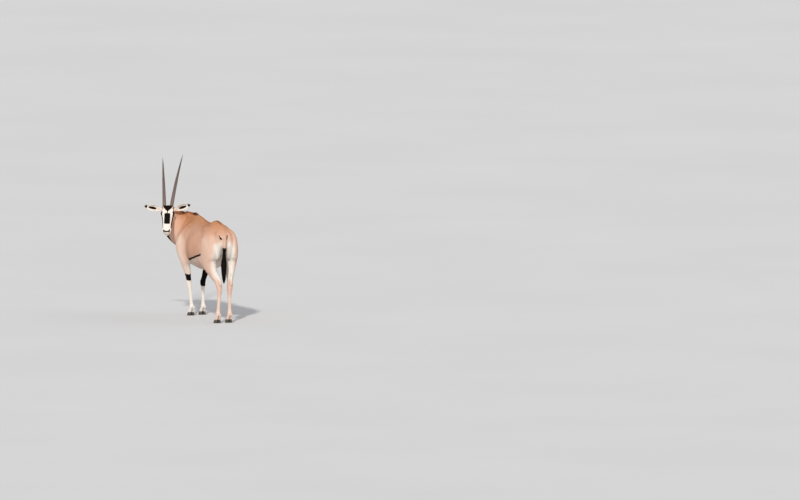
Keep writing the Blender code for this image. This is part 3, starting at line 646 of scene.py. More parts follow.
# %% Helpers that add a leg and the skull
def toe_rows(foot_x, foot_y, spread):
    """One toe from the fetlock down to its hoof, on the side that spread points to."""
    return (
        (foot_x + 0.35 * spread, foot_y + 0.012, 0.100, 0.0240, 0.0170),
        (foot_x + 0.75 * spread, foot_y - 0.004, 0.074, 0.0225, 0.0160),
        (foot_x + spread, foot_y - 0.018, 0.050, 0.0270, 0.0165),
        (foot_x + spread, foot_y - 0.022, 0.030, 0.0300, 0.0175),
    )


def add_leg(mesh, leg):
    """A leg's tube with its toes, dewclaws and muscles, and the heel tendon of a hind leg."""
    rows, mirror, shift = LEGS[leg]
    loft(path_rings(shifted(rows, mirror, shift), 32, LEFT, steps=4), mesh)
    foot_x, foot_y = foot_of(leg)
    for spread in (TOE_SPREAD, -TOE_SPREAD):
        loft(path_rings(toe_rows(foot_x, foot_y, spread), 20, LEFT, steps=4), mesh)
        ball(mesh, Vector((foot_x + 0.8 * spread, foot_y + 0.040, 0.098)), (0.010, 0.011, 0.016))
    if "hind" in leg:
        loft(path_rings(shifted(round_rows(HEEL_TENDON), mirror, shift), 16, LEFT), mesh)
    for (x, y, z), radii in MUSCLES["hind" if "hind" in leg else "front"]:
        ball(mesh, Vector((x * mirror, y, z)), radii)


def eye_centre(mirror):
    return in_head(0.0600 * mirror, -0.038, 0.096)


def add_skull(mesh):
    """The head's tube with the forms that stand out from it, and the roots of the ears."""
    loft(head_rings(), mesh)
    for mirror in BOTH:
        for (left, brow, along), radii in SKULL_FORMS:
            ball(mesh, in_head(left * mirror, brow, along), radii, HEAD_TURNED)
        loft(ear_rings(mirror, 0.035, thinner=0.0), mesh)
    ball(mesh, in_head(*CHIN[0]), CHIN[1], HEAD_TURNED)


print("helpers for legs and skull are ready")

# %% Melt the skin
SKIN_VOXEL = 0.0030


def run_modifiers(made):
    """The object's modifiers made final in its mesh."""
    graph = bpy.context.evaluated_depsgraph_get()
    graph.update()
    data = bpy.data.meshes.new_from_object(made.evaluated_get(graph))
    made.modifiers.clear()
    old = made.data
    made.data = data
    bpy.data.meshes.remove(old)


def from_bmesh(name, mesh, finish=None):
    """A bmesh as an object whose faces point out."""
    bmesh.ops.recalc_face_normals(mesh, faces=mesh.faces)
    data = bpy.data.meshes.new(name)
    mesh.to_mesh(data)
    mesh.free()
    return link_object(name, data, finish)


form = bmesh.new()
loft(path_rings(round_rows(CREST_PAD), 24, LEFT, steps=4), form)
loft(torso_rings(), form)
loft(neck_rings(), form)
loft(path_rings(round_rows(TAIL_DOCK), 24, LEFT, steps=4), form)
for leg in LEGS:
    add_leg(form, leg)
add_skull(form)
skin = from_bmesh("skin", form)
melt = skin.modifiers.new("Melt", "REMESH")
melt.mode = "VOXEL"
melt.voxel_size = SKIN_VOXEL
run_modifiers(skin)
print("melted skin:", len(skin.data.polygons), "faces")

# %% Level the creases and make room for the coat
SKIN_SMOOTHINGS, CREASE_SMOOTHINGS = 9, 200
COAT_DEPTH = 0.0016
FACE_MIDDLE, FACE_REACH = (0.0, -0.06, 0.16), (0.12, 0.16, 0.26)     # an egg round the head, in its own frame
places = points_of(skin.data)
in_face = head_places(places)
# The long smoothing: a quarter above the knees, full on the trunk, and none on head, ears and tail
broad = 0.25 * ramp(places[:, 2], 0.36, 0.42) + 0.75 * ramp(places[:, 2], 0.54, 0.90)
broad *= ramp(np.linalg.norm(in_face, axis=1), 0.28, 0.34) * ramp(0.93 - places[:, 1], 0.0, 0.02)
broad *= ramp(np.linalg.norm((in_face - FACE_MIDDLE) / FACE_REACH, axis=1), 1.15, 1.40)
weigh(skin, "broad", broad)
for rounds, group in ((CREASE_SMOOTHINGS, "broad"), (SKIN_SMOOTHINGS, "")):
    smooth = skin.modifiers.new("Smooth " + group, "SMOOTH")
    smooth.factor = 0.5
    smooth.iterations = rounds
    smooth.vertex_group = group
draw_in = skin.modifiers.new("Coat depth", "DISPLACE")
draw_in.mid_level = 0.0
draw_in.strength = -COAT_DEPTH
run_modifiers(skin)
skin.vertex_groups.clear()
print("skin smoothed and drawn in by", COAT_DEPTH * 1000, "mm")

# %% [markdown]
# The melted skin has far more faces than a broad flank needs. Decimate can thin it by a weight, so each
# point says how much detail its place needs: full on the head, more than half on the ears and round the
# tail's root, half along the flank stripe and the line of the back, less on the legs, and least on the rest
# of the trunk.

# %% Thin the flanks and keep the head
SKIN_FACES = 190000
# The middle of the flank stripe: places along the body, and its height there
FLANK_RUN = (0.17, 0.30, 0.40, 0.50, 0.60, 0.70)
FLANK_HEIGHTS = (0.678, 0.692, 0.709, 0.732, 0.760, 0.785)


def flank_height(y):
    """Height of the flank stripe's middle at a place along the body."""
    return np.interp(y, FLANK_RUN, FLANK_HEIGHTS)


def union(*masks):
    """The highest of several masks, point by point."""
    return np.maximum.reduce(masks)


# Thinning leaves edges as long as 1 / detail, so each part's share says how fine it stays
BROAD_DETAIL, LEG_DETAIL, STRIPE_DETAIL, SEAT_DETAIL, EAR_DETAIL = 0.20, 0.40, 0.50, 0.60, 0.60
SEAT_MIDDLE, SEAT_STRETCH = (0.0, 0.92, 0.98), (1.0, 1.0, 1.2)
x, y, z = points_of(skin.data).T
places = np.stack([x, y, z], 1)
in_face = head_places(places)
on_flank = ramp(np.abs(y - 0.44), 0.33, 0.30) * ramp(np.abs(z - flank_height(y)), 0.045, 0.035)
on_ridge = ramp(np.abs(x), 0.035, 0.025) * ramp(z, 1.02, 1.05)
seat_distance = np.linalg.norm((places - SEAT_MIDDLE) / SEAT_STRETCH, axis=1)
detail = union(
    ramp(np.linalg.norm((in_face - FACE_MIDDLE) / FACE_REACH, axis=1), 1.15, 0.95),
    np.full(len(places), BROAD_DETAIL),
    LEG_DETAIL * ramp(z, 0.64, 0.60),
    EAR_DETAIL * ramp(0.30 - np.linalg.norm(in_face, axis=1), 0.0, 0.02),
    STRIPE_DETAIL * union(on_flank, on_ridge),
    SEAT_DETAIL * ramp(0.13 - seat_distance, 0.0, 0.03))
weigh(skin, "detail", detail)
thin = skin.modifiers.new("Thin", "DECIMATE")
thin.ratio = min(1.0, SKIN_FACES / (2 * len(skin.data.polygons)))
thin.vertex_group = "detail"
thin.invert_vertex_group = True
run_modifiers(skin)
skin.vertex_groups.clear()
print("thinned skin:", len(skin.data.polygons), "faces")

# %% [markdown]
# A Boolean cuts what the melt is too coarse for: the sockets of the eyes, the almond between the lids, the
# nostrils and the line of the mouth. Each lid then gets a rim, a closed tube laid round the almond. The
# fast Manifold solver fits here, because every shape is closed.

# %% A helper that cuts and joins
def boolean(target, operation, tools):
    """Cuts or joins closed mesh objects, then removes them."""
    group = bpy.data.collections.new("tools")
    bpy.context.scene.collection.children.link(group)
    for tool in tools:
        bpy.context.scene.collection.objects.unlink(tool)
        group.objects.link(tool)
    step = target.modifiers.new("Join", "BOOLEAN")
    step.operation = operation
    step.operand_type = "COLLECTION"
    step.collection = group
    step.solver = "MANIFOLD"
    bpy.context.view_layer.update()
    run_modifiers(target)
    for tool in tools:
        bpy.data.objects.remove(tool, do_unlink=True)
    bpy.data.collections.remove(group)


print("helper for cuts is ready")

# %% Lids
EYE_RADIUS = 0.0195
LID_LENGTH, LID_HEIGHT, LID_RIM, LID_DEPTH = 0.0165, 0.0094, 0.0016, 0.0105


def closed_tube(mesh, points, radii, sides=8):
    """A ring-shaped tube through points that run round a closed path."""
    count = len(points)
    middle = sum(points, Vector()) / count
    rings = []
    for i, point in enumerate(points):
        ahead = (points[(i + 1) % count] - points[i - 1]).normalized()
        outward = (point - middle).normalized()
        rise = ahead.cross(outward).normalized()
        ring = []
        for k in range(sides):
            turn = 2 * math.pi * k / sides
            ring.append(mesh.verts.new(point + (outward * math.cos(turn) + rise * math.sin(turn)) * radii[i]))
        rings.append(ring)
    for near, far in zip(rings, rings[1:] + rings[:1]):
        for k in range(sides):
            mesh.faces.new((near[k], near[(k + 1) % sides], far[(k + 1) % sides], far[k]))


def eye_axes(mirror):
    """Out of the eye, along the slit between the lids, and across it."""
    out = head_way(0.90 * mirror, 0.38, -0.05)
    along = square_to(head_way(0.10 * mirror, -0.24, 1.0), out)
    return out, along, out.cross(along)


def lid_rim(mirror, steps=40):
    """The rim of both lids of one eye: a tube round the almond, thicker above and below."""
    out, along, across = eye_axes(mirror)
    points, radii = [], []
    for i in range(steps):
        turn = 2 * math.pi * i / steps
        open_way = along * (LID_LENGTH * 0.95 * math.cos(turn)) + across * (LID_HEIGHT * math.sin(turn))
        way = (out * EYE_RADIUS + open_way).normalized()
        points.append(eye_centre(mirror) + way * (EYE_RADIUS + 0.0008))
        radii.append(LID_RIM * (1.0 + 0.35 * abs(math.sin(turn))))
    mesh = bmesh.new()
    closed_tube(mesh, points, radii)
    return from_bmesh("lid_rim", mesh)


print("almond between the lids:", LID_LENGTH * 2000, "by", LID_HEIGHT * 2000, "mm")

# %% Nostrils, mouth and ears
NOSTRIL_RADII = (0.0115, 0.0045, 0.0110)
MOUTH_BEAD, MOUTH_STEPS = 0.0024, 14


def one_ball(name, centre, radii, axes=None, segments=28, rings=20):
    """An ellipsoid as an object, with its axes given as three directions."""
    mesh = bmesh.new()
    turn = Matrix(axes).transposed() if axes else None
    ball(mesh, centre, radii, turn, segments, rings)
    return from_bmesh(name, mesh)


def nostril_centre(mirror):
    return in_head(0.0280 * mirror, -0.028, 0.350)


def nostril(mirror):
    """A narrow slanting hole in the wing of the nose."""
    out = head_way(0.60 * mirror, 0.45, 0.85)
    along = square_to(head_way(0.75 * mirror, 0.6, -0.75), out)
    return one_ball("nostril", nostril_centre(mirror), NOSTRIL_RADII, (along, out.cross(along), out))


def mouth_line():
    """A thin bead round the muzzle that leaves the groove between the lips."""
    rows = []
    for i in range(-MOUTH_STEPS, MOUTH_STEPS + 1):
        share = abs(i) / MOUTH_STEPS
        along = 0.385 - 0.105 * share ** 1.7
        out = math.copysign(0.050 * math.sin(min(1.0, share * 1.6) * math.pi / 2), i)
        rows.append((*in_head(out, -0.075 - 0.006 * share, along), MOUTH_BEAD, MOUTH_BEAD))
    mesh = bmesh.new()
    loft(path_rings(rows, 8, head_way(0, 1, 0), steps=1), mesh)
    return from_bmesh("mouth_line", mesh)


def ear_object(mirror):
    mesh = bmesh.new()
    loft(ear_rings(mirror, 1.0), mesh)
    return from_bmesh("ear", mesh)


print("nostrils at", [[round(v, 3) for v in nostril_centre(mirror) + BODY_SHIFT] for mirror in BOTH])

# %% Cut and add the features of the face
cuts = [mouth_line()]
for mirror in BOTH:
    out, along, across = eye_axes(mirror)
    cuts.append(one_ball("eye_socket", eye_centre(mirror), (EYE_RADIUS + 0.0004,) * 3))
    front = eye_centre(mirror) + out * (EYE_RADIUS + 0.001)
    almond = (LID_LENGTH, LID_HEIGHT + 0.0004, LID_DEPTH)
    cuts.append(one_ball("lid_opening", front, almond, (along, across, out)))
    cuts.append(nostril(mirror))
# A wide block cuts the skin off where the hooves begin
ground = bmesh.new()
under_feet = Matrix.Translation((0, 0.4, SOLE_TOP - 0.1)) @ Matrix.Diagonal((1.2, 2.4, 0.2, 1.0))
bmesh.ops.create_cube(ground, size=1.0, matrix=under_feet)
cuts.append(from_bmesh("ground", ground))
boolean(skin, "DIFFERENCE", cuts)
boolean(skin, "UNION", [lid_rim(1.0), lid_rim(-1.0), ear_object(1.0), ear_object(-1.0)])
tidy = bmesh.new()
tidy.from_mesh(skin.data)
bmesh.ops.remove_doubles(tidy, verts=tidy.verts, dist=0.00005)
bmesh.ops.triangulate(tidy, faces=tidy.faces)
tidy.to_mesh(skin.data)
tidy.free()
skin.data.shade_smooth()
print("skin with its face:", len(skin.data.polygons), "triangles")

# %% [markdown]
# Hair lies in streams: back along the trunk, down the legs, up the face from the nose and out along the
# ears. Guides placed down the middle of every part carry that direction. Each point of the skin takes a mix
# of the guides near it, and from the nearest one also its place on an unwrapped sheet: how far along, and
# how far round.

# %% Guides for the lie of the hair
REGIONS = ["torso", "neck", "head", "tail", *EARS, *LEGS]
TRUNK_LIE = Vector((0.0, 1.0, -0.22)).normalized()
HEAD_GUIDES, EAR_GUIDES = 15, 8
guides = []


def add_guide(region, share, centre, lie, side, rise, radius):
    """A guide: its region, its share of the length, place, lie, the ways round it, and its reach."""
    guides.append((REGIONS.index(region), share, *centre, *lie, *side, *rise, radius))


def add_leg_guides(leg):
    middle = between(shifted(*LEGS[leg]), 3)
    foot_x, foot_y = foot_of(leg)
    middle.append((foot_x, foot_y - 0.020, 0.040, 0.030, 0.035))
    for i in range(6, len(middle) - 1):
        lie = (Vector(middle[i + 1][:3]) - Vector(middle[i - 1][:3])).normalized()
        rise = lie.cross(LEFT).normalized()
        radius = 0.5 * (middle[i][3] + middle[i][4])
        add_guide(leg, i / len(middle), middle[i][:3], lie, LEFT, rise, radius)


torso_rows = between(TORSO, 3)
for i, (y, z, up, down, half_width, _) in enumerate(torso_rows):
    radius = 0.5 * (half_width + 0.5 * (up + down))
    add_guide("torso", i / len(torso_rows), (0.0, y, z), TRUNK_LIE, LEFT, UP, radius)
neck_line = neck_frames(5)
for i, (centre, ahead, crest, side, depth, half_width) in enumerate(neck_line[:-5]):
    add_guide("neck", i / len(neck_line), centre, -ahead, side, crest, 0.5 * (depth + half_width))
up_face, across_face, out_of_face = head_way(0, 0, -1), head_way(1, 0, 0), head_way(0, 1, 0)
for i in range(HEAD_GUIDES):
    share = -0.12 + 1.10 * i / (HEAD_GUIDES - 1)
    middle = in_head(0.0, -0.075, share * HEAD_LENGTH)
    add_guide("head", share, middle, up_face, across_face, out_of_face, 0.085)
tail_rows = between(TAIL_DOCK, 3)
for i in range(3, len(tail_rows) - 1):
    middle, radius = tail_rows[i][:3], tail_rows[i][3]
    lie = (Vector(tail_rows[i + 1][:3]) - Vector(middle)).normalized()
    add_guide("tail", i / len(tail_rows), middle, lie, LEFT, lie.cross(LEFT).normalized(), radius)
for region, mirror in EARS.items():
    root, out, opens, across = ear_frame(mirror)
    for i in range(EAR_GUIDES):
        share = 0.12 + 0.88 * i / (EAR_GUIDES - 1)
        add_guide(region, share, root + out * (EAR_LENGTH * share), out, across, opens, 0.030)
for leg in LEGS:
    add_leg_guides(leg)
GUIDES = np.array(guides)
print("guides:", len(GUIDES), "in", len(REGIONS), "regions")

# %% Lie of the hair and place on the unwrapped sheet
SHEET_COLUMNS = 4
GUIDE_FALL = 7           # how steeply a guide's pull falls with distance
BATCH = 20000            # points read at a time, to keep the tables of distances small


def read_guides(points):
    """For each point: the lie of the hair, its region, and its place on the sheet."""
    apart = np.linalg.norm(points[:, None, :] - GUIDES[None, :, 2:5], axis=2) / GUIDES[None, :, 14]
    weight = 1.0 / np.maximum(apart, 0.05) ** GUIDE_FALL
    lie = weight @ GUIDES[:, 5:8]
    lie /= np.maximum(np.linalg.norm(lie, axis=1, keepdims=True), 1e-9)
    nearest = GUIDES[np.argmin(apart, axis=1)]
    region = nearest[:, 0].astype(int)
    off = points - nearest[:, 2:5]
    onward, aside, above = ((off * nearest[:, k:k + 3]).sum(1) for k in (5, 8, 11))
    around = np.arctan2(aside, above) / (2 * math.pi) + 0.5
    along = np.clip(nearest[:, 1] + onward / 1.2, 0.0, 1.0)
    cell = np.stack([region % SHEET_COLUMNS, region // SHEET_COLUMNS], 1)
    return lie, region, (cell + 0.02 + 0.96 * np.stack([around, along], 1)) / SHEET_COLUMNS


places = points_of(skin.data)
batches = [read_guides(places[start:start + BATCH]) for start in range(0, len(places), BATCH)]
lies, regions, sheets = (np.concatenate(parts) for parts in zip(*batches))
normals = np.empty(len(places) * 3, np.float32)
skin.data.vertices.foreach_get("normal", normals)
normals = normals.reshape(-1, 3).astype(np.float64)
for name in REGIONS:
    print(name, int((regions == REGIONS.index(name)).sum()), "points", end="; ")
print()

# %% [markdown]
# The markings are the oryx's signature, and each follows a rule in the frame of its own part: a garter on a
# foreleg is a range of heights, the flank stripe is a band round a line on the belly's edge, and the face's
# patches are shapes in the head's frame. They could be painted by hand, but a rule gives a mask with a soft
# edge of a known width. The material later breaks that edge with noise, and each tuft of hair takes the
# mask at its root, so that skin and coat always carry the same pattern.

# %% Helpers for masks
def band(values, low, high, soft):
    """1 between low and high, falling to 0 over soft on both sides."""
    return ramp(values, low - soft, low + soft) * (1.0 - ramp(values, high - soft, high + soft))


def edge(inside, soft):
    """1 where a distance is positive and 0 where it is negative, with a soft step between."""
    return ramp(inside, -soft, soft)


def close_to(centre, reach, inner=0.002, outer=0.003):
    """1 on points nearer to a centre than reach."""
    return ramp(reach - np.linalg.norm(places - np.array(centre), axis=1), -inner, outer)


def along_rows(rows, heights, column):
    """One column of a table of stations that run downwards, read at heights."""
    upwards = rows[::-1]
    return np.interp(heights, [row[2] for row in upwards], [row[column] for row in upwards])


def is_in(*names):
    """1 on the points of these regions."""
    return np.isin(regions, [REGIONS.index(name) for name in names]).astype(float)


x, y, z = places.T
side_way = np.abs(x)
left_out, brow_out, along_face = head_places(places).T
face_side = np.abs(left_out)
# Each point's place on the neck: share of its length, height over its middle line, and distance across it
neck_centres, _, neck_crests, neck_sides, neck_depths, _ = (np.array(column) for column in zip(*neck_line))
near_neck = np.argmin(np.linalg.norm(places[:, None, :] - neck_centres[None], axis=2), axis=1)
neck_off = places - neck_centres[near_neck]
neck_up = (neck_off * neck_crests[near_neck]).sum(1) / neck_depths[near_neck]
neck_across = (neck_off * neck_sides[near_neck]).sum(1)
neck_share = near_neck / (len(neck_line) - 1)
torso, neck, on_head = is_in("torso"), is_in("neck"), is_in("head")
trunk = union(torso, neck)
print("reading rules for", len(places), "points")

# %% Markings of the trunk, with the head's painted shadow on the throat
STRIPE_EDGE, STRIPE_START, STRIPE_END, STRIPE_HALF = 0.005, 0.17, 0.715, 0.0120
flank_line = flank_height(y)
flank_width = STRIPE_HALF + 0.002 * np.sin(y * 9.0)
flank_stripe = band(z - flank_line, -flank_width, flank_width, STRIPE_EDGE)
flank_stripe *= band(y, STRIPE_START, STRIPE_END, 0.02) * ramp(side_way, 0.09, 0.12)
# The pale belly begins at the stripe, and its ends slant
belly = torso * ramp(flank_line - z, 0.0, 0.014) * band(y - 0.5 * (0.62 - z), 0.13, 0.76, 0.04)
# A thin line along the back, and a wider one along the crest under the mane
spine_line = trunk * band(x, -0.014, 0.014, 0.008) * ramp(z, 1.06, 1.10) * band(y, -0.05, 0.86, 0.05)
crest_line = trunk * edge(0.018 - np.abs(neck_across), 0.006) * ramp(neck_up, 0.72, 0.86)
crest_line *= ramp(neck_share, 0.05, 0.15)
# The throat line widens towards the jaw, where the widening is painted shadow of the head on the neck, and
# the turned neck twists it
throat_half_and_shadow = 0.028 + 0.018 * ramp(neck_share, 0.45, 0.85)
throat_turn = 0.026 * ramp(neck_share, 0.35, 0.75)
throat_line_and_shadow = edge(throat_half_and_shadow - np.abs(neck_across + throat_turn), 0.006) * ramp(-neck_up, 0.40, 0.56)
throat_line_and_shadow *= trunk + on_head * ramp(0.02 - along_face, -0.02, 0.0)
throat_line_and_shadow *= ramp(neck_share, 0.27, 0.33) * ramp(-0.12 - y, 0.0, 0.03)
print("stripe points", int((flank_stripe > 0.5).sum()), "throat points", int((throat_line_and_shadow > 0.5).sum()))

# %% Markings of the legs, with painted shade and painted highlight on the forelegs
# The right garter runs further up and down than the left one, and that extra length is partly painted shade
# on the shaded inner side of the leg
GARTERS_AND_SHADE = {"leg_front_left": (0.422, 0.502), "leg_front_right": (0.340, 0.572)}     # lower and upper edge
ACROSS_VIEW = (0.9455, 0.3256)     # how far X and Y run across the picture
garter_and_shade, white_leg = np.zeros(len(places)), np.zeros(len(places))
for leg, (low, high) in GARTERS_AND_SHADE.items():
    here, outward = is_in(leg), LEGS[leg][1]
    slant = z + 0.35 * (y - 0.005)
    above = ramp(slant, high, high + 0.01)
    garter_and_shade = union(garter_and_shade, band(slant, low, high, 0.008) * here)
    # White below the garter and on the inner edge above it, and half pale on the rest of the upper leg, which
    # is paler hair and partly painted highlight of the lit arm
    inner = ACROSS_VIEW[0] * (along_rows(FORE_LEG, z, 0) * outward - x) * outward
    inner += ACROSS_VIEW[1] * (y - along_rows(FORE_LEG, z, 1))
    inner_edge = ramp(inner, 0.006, 0.018) * above * ramp(0.80 - z, 0.0, 0.10)
    upper_leg_pale_and_highlight = 0.34 * ramp(0.86 - z, 0.0, 0.12) * above
    white_leg = union(white_leg, here * union(ramp(low - slant, 0.0, 0.012), inner_edge, upper_leg_pale_and_highlight))
shin_left = is_in("leg_front_left") * band(z, 0.33, 0.45, 0.02) * ramp(-y, 0.010, 0.024)
# The band on the front of the right shin is painted shade, standing for the grey below that leg's garter
right_shin_shade = is_in("leg_front_right") * band(z, 0.29, 0.38, 0.012) * ramp(-0.022 - y, 0.0, 0.012)
hind = is_in("leg_hind_left", "leg_hind_right")
inner_thigh = union(hind, torso * ramp(y, 0.70, 0.80)) * ramp(0.095 - side_way, -0.02, 0.03)
inner_thigh *= ramp(z, 0.38, 0.62) * ramp(0.90 - z, 0.0, 0.06)
print("garter points", int((garter_and_shade > 0.5).sum()))

# %% Markings of the rump and the tail, and painted shade beside the tail's root
SLIT_TOP, SLIT_END, SLIT_SHIFT, SLIT_HALF = (0.054, 1.022), (0.034, 0.984), (0.0095, 0.0), 0.0080
dock_x, dock_y, dock_reach = (along_rows(TAIL_DOCK, z, column) for column in (0, 1, 3))
dock = ramp(dock_reach + 0.010 - np.hypot(x - dock_x, y - dock_y), 0.0, 0.005) * ramp(1.00 - z, 0.0, 0.01)
seat = ramp(y, 0.84, 0.93) * ramp(0.105 - side_way, -0.055, 0.045) * band(z, 0.50, 0.945, 0.06)
back_of_thigh = ramp(normals[:, 1], -0.10, 0.35) * ramp(0.185 - side_way, 0.0, 0.08) * ramp(z, 0.38, 0.64)
white_seat = union(seat, 0.80 * back_of_thigh * ramp(0.99 - z, 0.0, 0.12))
white_seat *= union(hind, torso) * (1.0 - 0.85 * dock)
inner_thigh *= 1.0 - dock
# A short dark slit on each side of the tail's root, wider at its lower end: painted shade of the hollows
# beside the root
slits_of_painted_shade = np.zeros(len(places))
for mirror in BOTH:
    high_end, low_end = (np.array((end[0] * mirror, end[1])) + SLIT_SHIFT for end in (SLIT_TOP, SLIT_END))
    run = low_end - high_end
    off = np.stack([x, z], 1) - high_end
    share = np.clip(off @ run / (run @ run), 0.0, 1.0)
    apart = np.linalg.norm(off - share[:, None] * run, axis=1)
    slits_of_painted_shade = union(slits_of_painted_shade, edge(SLIT_HALF * (0.5 + 0.7 * share) - apart, 0.003) * ramp(y, 0.86, 0.88))
print("slit points", int((slits_of_painted_shade > 0.5).sum()), "white seat points", int((white_seat > 0.5).sum()))

# %% Markings of the head
FACE_EDGE = 0.0035
FACE_LEAN = 0.687            # a mark set back from the face's plane looks this much lower from the camera
# The black of the forehead: heights down the face and its half widths, ending in a thin line
FOREHEAD_LEVELS = (-0.010, 0.013, 0.039, 0.065, 0.082, 0.092)
FOREHEAD_HALVES = (0.060, 0.0565, 0.0470, 0.0270, 0.0120, 0.0048)
# The lower edge of the cheek stripe: places along the face, and how far it lies below the brow there
CHEEK_RUN = (0.00, 0.05, 0.096, 0.16, 0.24, 0.31)
CHEEK_EDGES = (-0.035, -0.046, -0.060, -0.068, -0.076, -0.082)
NOSE_MIDDLE, NOSE_HALF = 0.376, 0.037


def horn_base(mirror):
    return in_head(0.043 * mirror, -0.022, -0.012)


down_face = along_face - FACE_LEAN * brow_out
half_face = np.interp(along_face / HEAD_LENGTH, [row[0] for row in HEAD], [row[3] for row in HEAD])
forehead = edge(np.interp(down_face, FOREHEAD_LEVELS, FOREHEAD_HALVES) - face_side, FACE_EDGE)
forehead *= ramp(brow_out, -0.095, -0.080) * band(down_face, -0.045, 0.120, 0.004)
# The blaze down the nose is a little narrower at both ends
blaze_half = 0.034 - 0.012 * ramp(0.126 - down_face, 0.0, 0.010) - 0.006 * ramp(down_face, 0.257, 0.269)
blaze = edge(blaze_half - face_side, FACE_EDGE) * band(down_face, 0.116, 0.267, 0.004)
blaze *= ramp(brow_out, -0.070, -0.050)
# The stripe through the eye runs down the cheek, and a strap under the jaw joins both sides
cheek = ramp(face_side / half_face, 0.81, 0.88) * band(along_face, 0.020, 0.300, 0.008)
cheek *= edge(brow_out - np.interp(along_face, CHEEK_RUN, CHEEK_EDGES), 0.005)
chin_strap = ramp(-brow_out, 0.120, 0.140) * band(along_face, 0.075, 0.285, 0.012)
chin_strap *= edge(0.036 - face_side, 0.008)
# The dark rim of the nose is a shallow arc
nose_rise = (face_side / NOSE_HALF) ** 2
nose = edge(0.009 + 0.004 * nose_rise - np.abs(down_face - NOSE_MIDDLE + 0.026 * nose_rise), FACE_EDGE)
nose *= edge(0.038 - face_side, 0.003)
nostril_rims = union(*(close_to(nostril_centre(mirror), 0.0125) for mirror in BOTH))
eye_rims = union(*(close_to(eye_centre(mirror), 0.0285) for mirror in BOTH))
horn_feet = union(*(close_to(horn_base(mirror), 0.038, 0.003) for mirror in BOTH))
horn_feet *= edge(0.062 - face_side, 0.004)
face_black = on_head * union(forehead, blaze, cheek, chin_strap, nose, nostril_rims, eye_rims, horn_feet)
face_white = ramp(along_face, 0.030, 0.055) * ramp(brow_out, -0.105, -0.085)
face_white = on_head * union(face_white, band(along_face, 0.266, 0.45, 0.004))
print("face points", int(on_head.sum()), "black", int((face_black > 0.5).sum()))

# %% Markings of the ears
STREAK_START, STREAK_END, STREAK_HALF, STREAK_BLUR = 0.34, 0.80, 0.0155, 0.014
ears_all = is_in(*EARS)
ear_black, ear_white = np.zeros(len(places)), np.zeros(len(places))
for region, mirror in EARS.items():
    root, out, opens, across = (np.array(v) for v in ear_frame(mirror))
    here = is_in(region)
    share = (places - root) @ out / EAR_LENGTH
    over = np.abs((places - root) @ across)
    inside = ramp(normals @ opens, -0.15, 0.35)
    # The streak is an almond: widest half way between its ends
    streak_half = np.sqrt(np.clip((share - STREAK_START) * (STREAK_END - share), 0.0, 1.0))
    streak_half *= 2.0 * STREAK_HALF / (STREAK_END - STREAK_START)
    streak = edge(streak_half - over, STREAK_BLUR) * band(share, STREAK_START, STREAK_END, 0.03) * inside
    ear_black = union(ear_black, here * union(streak, ramp(share, 0.82, 0.90)))
    pale_cup = inside * (0.62 + 0.38 * ramp(over, 0.012, 0.024))
    ear_white = union(ear_white, here * union(pale_cup, 0.7 * ramp(share, 0.55, 0.75)))
print("ear points", int(ears_all.sum()), "black", int((ear_black > 0.5).sum()))

# %% Black, white, warm and pale
black = union(flank_stripe, garter_and_shade, shin_left, right_shin_shade, slits_of_painted_shade, face_black, ear_black,
              union(dock, is_in("tail")) * ramp(0.895 - z, 0.0, 0.03))
# The belly's white is held near half and falls further towards its rear: painted shade under the belly
white = union(belly * (0.56 - 0.12 * ramp(y, 0.35, 0.60)), white_leg, 0.9 * inner_thigh, white_seat,
              face_white, ear_white, hind * ramp(0.40 - z, 0.0, 0.12) * 0.40)
# Warmer towards the crest, the withers and the back, and on the poll and the ears
warm = neck * (0.10 + 0.40 * ramp(neck_up, 0.25, 0.85))
warm += torso * union(ramp(0.18 - y, 0.0, 0.25) * 0.30, 0.46 * ramp(z, 1.02, 1.14))
warm += 0.26 * on_head * ramp(0.04 - along_face, 0.0, 0.03) + 0.18 * ears_all
brown_crest = crest_line * (0.62 + 0.33 * ramp(0.45 - neck_share, -0.05, 0.25))
brown_spine = spine_line * (0.66 + 0.24 * band(y, 0.56, 0.80, 0.05))
# Paler on the legs and the head, the hindquarters, the shoulder and under the neck; on the shoulder this is
# paler hair and partly painted highlight of the lit arm
pale = hind * 0.60 + 0.8 * on_head + is_in("leg_front_left", "leg_front_right")
pale += torso * 0.7 * ramp(y, 0.66, 0.90) * ramp(1.06 - z, 0.0, 0.12)
pale += torso * 0.9 * ramp(0.16 - y, 0.0, 0.1) * ramp(1.02 - z, 0.0, 0.2)
pale = np.clip(pale + neck * 0.45 * ramp(0.4 - neck_up, 0.0, 0.6), 0.0, 1.0)
print("black", round(float(black.mean()), 3), "white", round(float(white.mean()), 3))

# %% Store the masks on the skin
def smoothed(values, rounds):
    """Values evened out over neighbouring points, so that no region's border shows."""
    edges = np.empty(len(skin.data.edges) * 2, np.int32)
    skin.data.edges.foreach_get("vertices", edges)
    edges = edges.reshape(-1, 2)
    count = np.bincount(edges.ravel(), minlength=len(values)).astype(float)
    for _ in range(rounds):
        total = np.bincount(edges[:, 0], weights=values[edges[:, 1]], minlength=len(values))
        total += np.bincount(edges[:, 1], weights=values[edges[:, 0]], minlength=len(values))
        values = 0.5 * values + 0.5 * total / np.maximum(count, 1.0)
    return values


def store(mesh, name, kind, key, values):
    """Values kept on a mesh's points under a name."""
    attribute = mesh.attributes.new(name, kind, "POINT")
    attribute.data.foreach_set(key, np.ascontiguousarray(values, np.float32).ravel())


